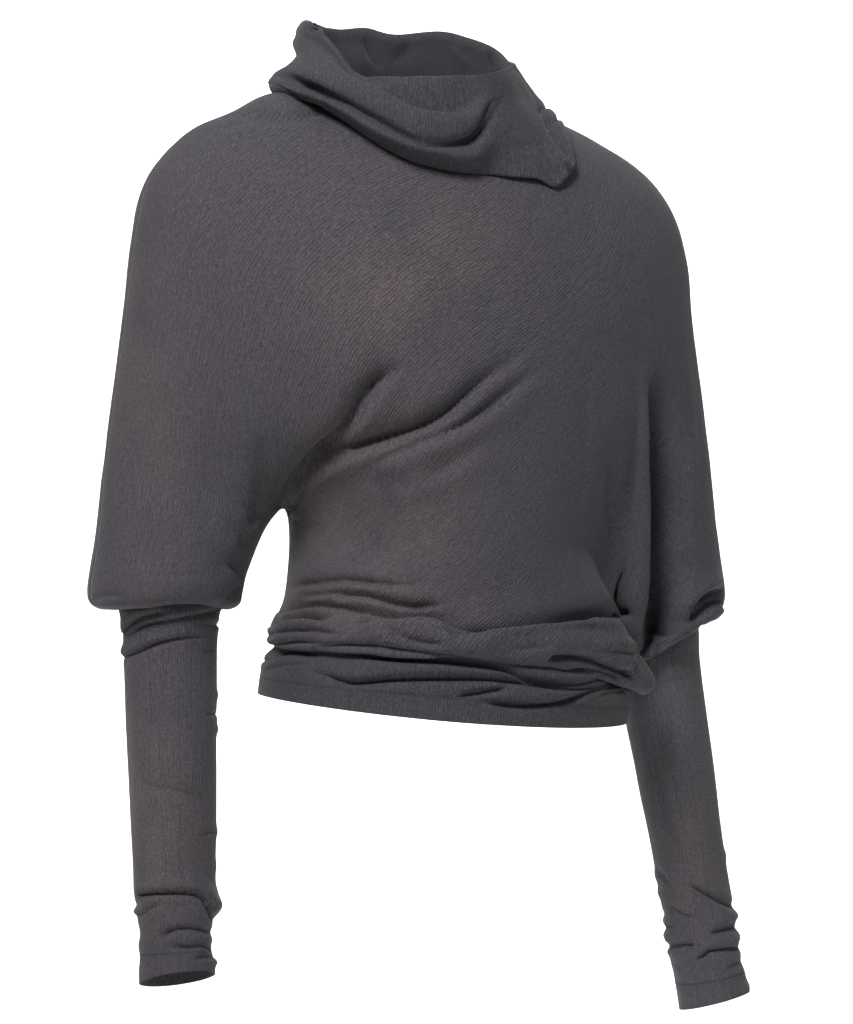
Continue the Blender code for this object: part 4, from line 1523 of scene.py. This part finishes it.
BAND_FOLDS = read_creases("""
    6.4 2.8 3 2.6 0 .8 fade=.2,.03: 341,651 362,655 386,659 433,662 480,667 505,672 525,680 551,685
        577,685 600,681 622,677;
    7 2.8 1.2 4 0 .7 .2 fade=.2,.02: 300,668 320,674 338,680 355,683 395,680 443,679 487,680 522,684
        557,689 575,690 601,686 626,679;
    5.2 2.6 1.6 2.4: 455,698 464,696 487,692 510,688;
    6.6 2.8 1.4 4 0 .7 .2 fade=.2,.02: 478,701 490,703 506,705 527,706 557,703 583,695 600,690 628,684;
    3.6 2.4 0 2 0 .6 .3 fade=.4,.02: 590,700 606,694 628,690;
    5 2.8 1 3 0 .6 .4 fade=.03,.4: 254,662 264,660 276,656 295,652 322,655;
    2.6 2.6 0 1.4 fade=.1,.5: 262,670 290,664 316,663;
    4.4 3.2 0 2.4 seen=BACK: 300,668 400,676 520,672 600,664;
    3 3 0 1.6 seen=BACK: 360,690 450,694 560,686;
    3 3 0 1.6 seen=BACK: 270,672 330,682 400,690;
""")
NEAR_SLEEVE_FOLDS = read_creases("""
    4.6 2.2 .6 2.8 0 .8 .3 fade=.02,.35: 118,640 122,634 131,624 144,617 160,613 172,613;
    4.4 2.2 .8 2.6 0 .8 .3 fade=.15,.05: 126,640 131,634 140,628 153,624 172,621 189,618 206,614
        218,611;
    4.2 2.2 .6 2.6 0 .8 .3 fade=.02,.45: 119,659 127,656 137,652 153,645 167,641 183,638 201,637
        216,637;
    3 2.2 0 1.6 0 .6 .6 fade=.3,.02: 212,627 217,625 222,624;
    1.4 3 0 1.2 fade=.4,.02: 200,655 209,651 217,650;
    2.4 2.4 1.4 0 0 .6 .4 fade=.4,.02: 205,718 211,715 219,715;
    1.6 4 0 1: 126,776 150,786 172,790 198,797 216,800;
    1.8 3 0 1 fade=.4,.02: 200,838 208,833 217,832;
    6 2.4 .4 4 0 .7 .3 fade=.05,.15: 136,897 140,895 157,893.5 173,893 193,893.5 202,897.5 208,906
        211,918 210,928;
    3 4 fade=.3,.3: 212,903 213,912 212,922;
    2.4 2.6 1.2 1.2 0 .6 .3 fade=.02,.5: 134,917 141,915 152,908 166,903;
    3.4 2.8 .8 1.8 fade=.3,.05: 156,945 160,939 173,931 189,929 206,931 212,932;
    2.8 2.8 .8 1.4 fade=.4,.05: 160,948 170,947 187,948 202,946 212,950;
    2.6 2.4 1.4 0 0 .6 .3 fade=.5,.02: 190,962 204,958 214,960;
""")
FAR_SLEEVE_FOLDS = read_creases("""
    2 6 0 .8: 652,726 658,767 672,826 693,891;
    2 3 0 1.4 fade=.1,.4: 655,868 664,878 676,892;
    4 3 .8 3 fade=.3,.02: 684,880 694,888 708,896 722,903 736,908;
    2.6 3.4 .8 1.6 fade=.2,.4: 668,905 680,914 700,921;
    2.6 2.6 1.2 1.2 0 .6 .3 fade=.05,.5: 662,930 668,927 678,929;
    5 3.6 1 2.4 0 .6 .2 fade=.35,.02: 708,934 716,933 726,930 738,926;
    4.2 2.6 0 2.6 0 .6 .3 fade=.05,.3: 664,946 672,946 688,945 698,947;
    4.6 2.6 .8 2.6 0 .6 .3 fade=.12,.02: 696,959 703,957 709,952 720,950 738,948;
    2 3 0 1 fade=.05,.4: 668,962 676,966 686,974;
    1.8 2.6 0 1 fade=.4,.05: 726,972 734,965 742,960;
    1.6 4 0 1: 640,690 660,684 700,676;
""")
COLLAR_ROLLS = read_creases("""
    3.8 2.8 0 2 0 .8 fade=.06,.15: 278,84 309,85 340,99 375,119 403,135 425,144 451,144 469,138 486,123
        500,104 508,88;
""")
COLLAR_FOLDS = read_creases("""
    5 2.6 0 0 0 .6 .8 fade=.1,.2: 309,33 313,28 319,25;
    2.4 2.6 0 2 0 .6 .5 fade=.1,.2: 322,30 331,40 340,51 350,66 360,79;
    1.6 2 0 1.4 0 .6 .4 fade=.02,.05: 266,86 274,84 288,91 305,101 323,108;
    1.6 3.4 0 1 fade=.3,.3: 284,70 298,78 318,90 345,108;
    1.6 2 1: 511,149 525,148 543,152;
    4.2 3.2 2.8 0 0 .6 .5 fade=.1,.05: 513,64 528,86 541,111 552,136 565,154 575,164;
    2.4 2.4 0 1.2 0 .6 .2 fade=.2,.1: 534,174 550,174 562,172 575,167;
    2.4 3 .8 .8 0 .6 .8 fade=.4,.02: 534,117 544,109 552,105;
    2.4 3 .8 .8 0 .6 .8 fade=.4,.02: 548,128 557,120 565,115;
    5 6 2 2 0 .6 1 fade=.4,.3: 363,34 367,44 372,56 382,70;
    3.4 5 0 1.6 0 .6 1 fade=.3,.3: 412,40 405,50 392,64;
    -4 6 0 -1.2 0 .6 1 fade=.4,.3: 456,42 454,50 462,62 474,70;
    3.6 3.4 0 0 0 .6 1 fade=.4,.3: 484,50 488,58 492,70;
""")
BODICE_SWELLS = (
    Swell((-0.1935, -0.055, -0.372), (0.040, 0.035, 0.016), (0.0, 0.002, 0.0055)),
    Swell((-0.112, 0.005, 0.006), (0.022, 0.050, 0.020), (0.0, 0.0, 0.008)),
    Swell((0.150, -0.088, -0.418), (0.036, 0.036, 0.026), (0.040, 0.002, -0.016)),
    Swell((0.150, -0.015, -0.335), (0.022, 0.045, 0.075), (0.0, -0.034, 0.0)),
    Swell((0.148, -0.015, -0.324), (0.036, 0.060, 0.060), (0.002, 0.0, -0.044)),
)
SHEER_PATCHES = (
    SheerPatch(400, 280, 90, 90, 0.55),
    SheerPatch(385, 500, 70, 80, 0.7),
    SheerPatch(380, 600, 90, 25, 0.5),
    SheerPatch(150, 400, 40, 200, 0.25),
)
SLEEVE_PATCHES = (
    SheerPatch(150, 800, 35, 120, 0.45),
    SheerPatch(690, 800, 25, 120, 0.2),
)
# Share of the way along; millimetres: x y z radius, how much lower the side at -x lies than the
# middle, and how much higher the front lies
RIGHT_FOREARM = (
    (0, -193.5, 0, -362, 35.2, 0, 0),
    (0.1, -193, -2, -392, 35, 0, 0),
    (0.5, -194.5, -14, -505, 32.5, 0, 0),
    (0.8, -195.5, -24, -590, 29.6, 0, 0),
    (0.87, -196.8, -26.5, -608.5, 25.8, 0, 1.5),
    (0.93, -196.8, -28.5, -624.5, 26.2, 0, 4),
    (0.965, -196.2, -29.5, -633.5, 27.8, 0.5, 6.5),
    (1, -196.2, -30.5, -643, 28, 0.6, 9.2),
)
LEFT_FOREARM = (
    (0, 207, 0, -388.5, 34.2, 15.3, 0),
    (0.1, 211, -1, -422, 33.2, 8, 0),
    (0.5, 231, -4, -542, 29.8, 0, 0),
    (0.8, 246, -7, -632, 27.7, 1, 0),
    (0.92, 252.5, -8, -666, 27.6, 4, 2),
    (1, 257, -9, -688, 28, 6.3, 4),
)
# along swell(mm) width slant centre reach: share of the way along and angles in radians
RIGHT_GATHERS = (
    (0.02, 7, 0.07, 0, 1.5, 1.1), (0.035, 1.8, 0.014, 0.008, 0.2, 2),
    (0.078, 1.5, 0.01, -0.01, 3.3, 1.8), (0.03, 4.2, 0.009, 0, 2.76, 0.35),
    (0.11, -1.4, 0.007, 0.01, -0.4, 0.8), (0.139, 1.9, 0.009, 0.012, -0.4, 0.9),
    (0.1, 1, 0.012, 0.01, 1, 1.6), (0.255, 1.4, 0.01, 0, 2.76, 0.6), (0.345, 1.8, 0.01, 0, 2.76, 0.5),
    (0.61, 1.2, 0.012, 0, 2.8, 0.9), (0.7, 1, 0.016, 0, 3.3, 1), (0.765, 2, 0.016, 0, 1.6, 1.4),
    (0.796, -2, 0.006, 0, -0.4, 0.7), (0.8, 5, 0.024, 0.006, 2.76, 0.9),
    (0.815, 3, 0.008, 0, -0.4, 0.6), (0.855, 1.6, 0.012, 0.006, 2.4, 0.6),
    (0.895, 1.4, 0.01, 0, 2.6, 0.8), (0.905, 1.4, 0.018, 0, -0.4, 0.8),
    (0.965, 2.6, 0.009, 0, 2.76, 0.7),
)
LEFT_GATHERS = (
    (0.06, 1.4, 0.02, -0.01, 1, 2), (0.6, 1.2, 0.014, 0, 2.76, 0.9), (0.655, 1.4, 0.014, 0.01, -0.4, 1),
    (0.7, 1.6, 0.012, 0.01, -0.4, 1), (0.735, -1.2, 0.008, 0, 2.76, 0.8),
    (0.753, -1.8, 0.007, 0, -0.4, 0.8), (0.763, 4.2, 0.011, 0.006, 2.76, 0.7),
    (0.775, 1.2, 0.008, 0, -0.4, 0.8), (0.814, 3.8, 0.01, 0.006, -0.4, 0.7),
    (0.822, 2.6, 0.012, -0.006, 2.76, 0.8), (0.855, 2.8, 0.009, 0, -0.4, 0.8),
    (0.858, -1.6, 0.008, 0, 2.76, 0.8), (0.9, -1.4, 0.014, 0, 2.76, 0.9), (0.88, 1, 0.014, 0, -0.4, 1),
    (0.98, 1.2, 0.012, 0, 2.76, 0.8),
)
# Millimetres: right left front_y back_y right_z left_z front_z back_z
BAND_RINGS = (
    (113, 144.5, -135, 79, -394, -413, -398, -395),
    (115, 147, -135, 78.5, -403, -426, -409, -405),
    (123.5, 161, -138, 84, -411, -437, -421, -416),
    (126.2, 164, -140, 87, -423, -448, -437, -430),
    (128, 162, -141.5, 88, -437, -460, -455.5, -446),
)
# Angle; radius and height in millimetres of rim, turn, back of the roll, roll, belly, fold,
# hollow, lower roll and free edge
COLLAR_SECTIONS = (
    (-162, 93, 81.3, 96.5, 76, 98, 70, 99, 63, 98.5, 54, 98, 44, 96.5, 34, 94.5, 20, 91, 7),
    (-137, 86, 83, 89.5, 79, 91, 74, 92.5, 68, 93.5, 60, 96, 50, 97.5, 40, 100, 26, 98, 12),
    (-112, 81.5, 76, 86.8, 71, 88, 65, 90, 59, 87, 46.5, 101, 38, 105, 33.5, 108, 28, 106, 21.5),
    (-90, 81.5, 71.5, 86.5, 66, 87.2, 60, 90.5, 54, 92, 43.5, 103, 34, 104.5, 28.5, 109.5, 23, 107, 16),
    (-77, 81.5, 64, 85.5, 58.5, 85.6, 52.5, 90.5, 49, 97, 40, 104, 29, 101.5, 22.5, 109, 16, 102, 8.5),
    (-62, 83, 47, 86.2, 43, 86.5, 38.5, 93, 36.8, 101, 28.5, 105, 19, 100.5, 12.5, 106, 7, 97, -1),
    (-49, 83.5, 24, 86.5, 20.5, 88.5, 16.5, 97.5, 22.6, 102.5, 15, 102, 7.5,
     100.3, 1.4, 103, -6, 91.5, -15.5),
    (-37, 84, 23, 87, 16, 90, 7, 100, 14.5, 104, 6, 103, -2.5, 101.2, -10, 104.5, -19, 91.5, -28),
    (-21, 84, 22.5, 87.5, 11.5, 90.5, -6, 103, -1.5, 106.5, -8.5, 105.5, -17,
     102.6, -24.6, 106, -31.5, 92, -41.5),
    (-7, 85, 23, 88, 11, 90.5, -8, 101.5, -5.5, 105, -12, 103.5, -21, 101, -28.2, 104, -36.5, 92, -47),
    (6, 86, 24.5, 87.5, 14, 90, 0, 96, -4, 100, -10, 98.5, -18, 92, -23.4, 102.5, -37, 92, -49),
    (20, 87, 27.5, 88.2, 22.5, 88.8, 18, 89.5, 13.5, 90, 10, 90, 6.8, 89.5, 4, 98, -22, 94.5, -49.2),
    (38, 83, 34, 85, 30, 86.2, 26, 87.5, 22, 89, 17.5, 90.5, 12.5, 92.5, 7, 101, -18, 113, -49.5),
    (53, 80, 39, 81.5, 35.5, 83, 31.5, 85, 27, 87.5, 21.5, 90.5, 15, 94.5, 8, 108, -12, 129, -40),
    (70, 79, 44.5, 83, 41.5, 86.5, 37.5, 90, 32, 94, 26, 98.5, 19, 104, 12.5, 111, 5, 119, -4),
    (90, 81, 51, 84.5, 47.5, 87.5, 43.5, 91, 38.5, 95, 33, 99, 27, 103, 21.5, 110, 15.5, 117, 9),
    (118, 92, 69.5, 95, 65, 97, 59.5, 99, 53.5, 100.5, 47, 101.5, 39, 103, 30, 105, 19, 107, 8),
    (143, 95, 83, 98, 78, 100, 71, 101.5, 62, 102, 54, 101.5, 44, 100.5, 34, 99, 21, 95.5, 6.5),
    (168, 88, 79, 91.5, 74.5, 94, 69, 95.5, 63, 96, 55, 95.5, 45, 94.5, 35, 92.5, 21, 88.5, 6.5),
    (180, 90, 84, 93.5, 79, 95.5, 73, 96.5, 66, 96.5, 57, 96, 46, 95, 35, 93, 21, 89, 7),
)


@dataclass(frozen=True)
class Studio:
    """A pale sweep, soft lights and the photograph's camera."""

    floor_z: float = -1.50
    depth: float = 3.0
    width: float = 12.0
    before: float = -4.0
    bend: float = 2.0
    bend_steps: int = 12
    top: float = 7.0

    def sweep(self) -> bpy.types.Object:
        """The pale floor, turned up softly far behind."""
        rows = [(self.before, 0.0), (self.depth, 0.0)]
        rows += [(self.depth + self.bend * math.sin(turn), self.bend * (1 - math.cos(turn)))
                 for turn in np.linspace(0.1, math.pi / 2, self.bend_steps)]
        rows.append((self.depth + self.bend, self.top))
        angle = VIEW.azimuth
        points, faces = [], []
        for back, up in rows:
            for side in (-self.width, self.width):
                x = side * math.cos(angle) - back * math.sin(angle)
                y = side * math.sin(angle) + back * math.cos(angle)
                points.append((x, y, self.floor_z + up))
        for first in range(0, 2 * len(rows) - 2, 2):
            faces.append((first, first + 1, first + 3, first + 2))
        mesh = bpy.data.meshes.new("sweep")
        mesh.from_pydata(points, [], faces)
        mesh.shade_smooth()
        # Background paper: matt and nearly white, so that it only carries a soft shadow.
        material, _, shader = start_material("matt_white_paper")
        fill(shader, {"Base Color": linear("#f4f4f4"), "Roughness": 0.9})
        mesh.materials.append(material)
        sweep = bpy.data.objects.new("sweep", mesh)
        bpy.context.collection.objects.link(sweep)
        return sweep

    def light(self, name: str, place: tuple, aim: tuple, size: float, power: float) -> None:
        """Hang a square soft light that shines at a point.

        Args:
            name: its name.
            place: where it hangs, in metres.
            aim: the point.
            size: its side, in metres.
            power: in watts.
        """
        lamp = bpy.data.lights.new(name, "AREA")
        lamp.size = size
        lamp.energy = power
        holder = bpy.data.objects.new(name, lamp)
        holder.location = place
        holder.rotation_euler = (Vector(aim) - Vector(place)).to_track_quat("-Z", "Y").to_euler()
        bpy.context.collection.objects.link(holder)

    def build(self) -> None:
        """Make the stage, the lights and the camera."""
        self.sweep()
        self.light("key", (-1.5, -1.7, 1.9), (0, 0, -0.25), 1.0, 98.0)
        self.light("fill", (1.4, -2.6, 0.6), (0, 0, -0.3), 1.6, 7.0)
        self.light("top", (0.3, 0.9, 2.0), (0, 0, -0.2), 1.2, 12.0)
        self.light("backdrop", (0.3, 1.6, 2.2), (1.8, 4.6, -0.2), 3.0, 330.0)
        world = bpy.data.worlds.new("studio")
        world.use_nodes = True
        fill(world.node_tree.nodes["Background"], {"Color": linear("#ffffff"), "Strength": 0.17})
        bpy.context.scene.world = world
        bpy.context.scene.view_settings.view_transform = "Standard"
        lens = bpy.data.cameras.new("photo_camera")
        lens.lens = VIEW.lens
        lens.sensor_fit = "VERTICAL"
        lens.sensor_height = VIEW.sensor
        camera = bpy.data.objects.new("photo_camera", lens)
        camera.location = VIEW.location()
        camera.rotation_euler = (math.pi / 2, 0.0, VIEW.azimuth)
        bpy.context.collection.objects.link(camera)
        bpy.context.scene.camera = camera


def main() -> None:
    logging.basicConfig(level=logging.INFO, format="%(message)s")
    Studio().build()
    stitches = Stitches()
    pieces = Bodice().build(RibJersey("charcoal_rib_jersey"), RibJersey("charcoal_rib_jersey_back"))
    # The far left sleeve wears a lighter copy of the jersey: painted light, standing in for light that
    # the far arm lacks.
    for side, table, folds, gathers, base in (
            ("right", RIGHT_FOREARM, NEAR_SLEEVE_FOLDS, RIGHT_GATHERS, RibJersey.base),
            ("left", LEFT_FOREARM, FAR_SLEEVE_FOLDS, LEFT_GATHERS, "#524f54")):
        sleeve = LowerSleeve("lower_sleeve_" + side, table, 56, 112, folds,
                             patches=SLEEVE_PATCHES, gathers=gathers)
        finish = RibJersey("charcoal_rib_sleeve_" + side, base=base, rib_run=LONG_RUN, hem=CUFF_HEM)
        built = sleeve.build(finish, stitches)
        pieces += built
    # The collar wears a darker copy of the jersey as painted shade.
    collar, = CowlCollar("cowl_collar", COLLAR_SECTIONS, 128, 52, COLLAR_FOLDS, COLLAR_ROLLS).build(
        RibJersey("charcoal_rib_collar", base="#434146", rib_run=LONG_RUN, inner_shade_from=COLLAR_SHADE_FROM),
        stitches)
    # The band wears a darker copy of the jersey as painted shade.
    band, *sewn = Waistband("waistband", BAND_RINGS, 180, 32, BAND_FOLDS).build(
        RibJersey("charcoal_rib_band", base="#434045", rib_run=LONG_RUN, hem=BAND_HEM), stitches)
    pieces += [collar, band, *sewn]
    for piece in pieces:
        LOG.info("%s: %d faces", piece.name, len(piece.data.polygons))


if __name__ == "__main__":
    main()
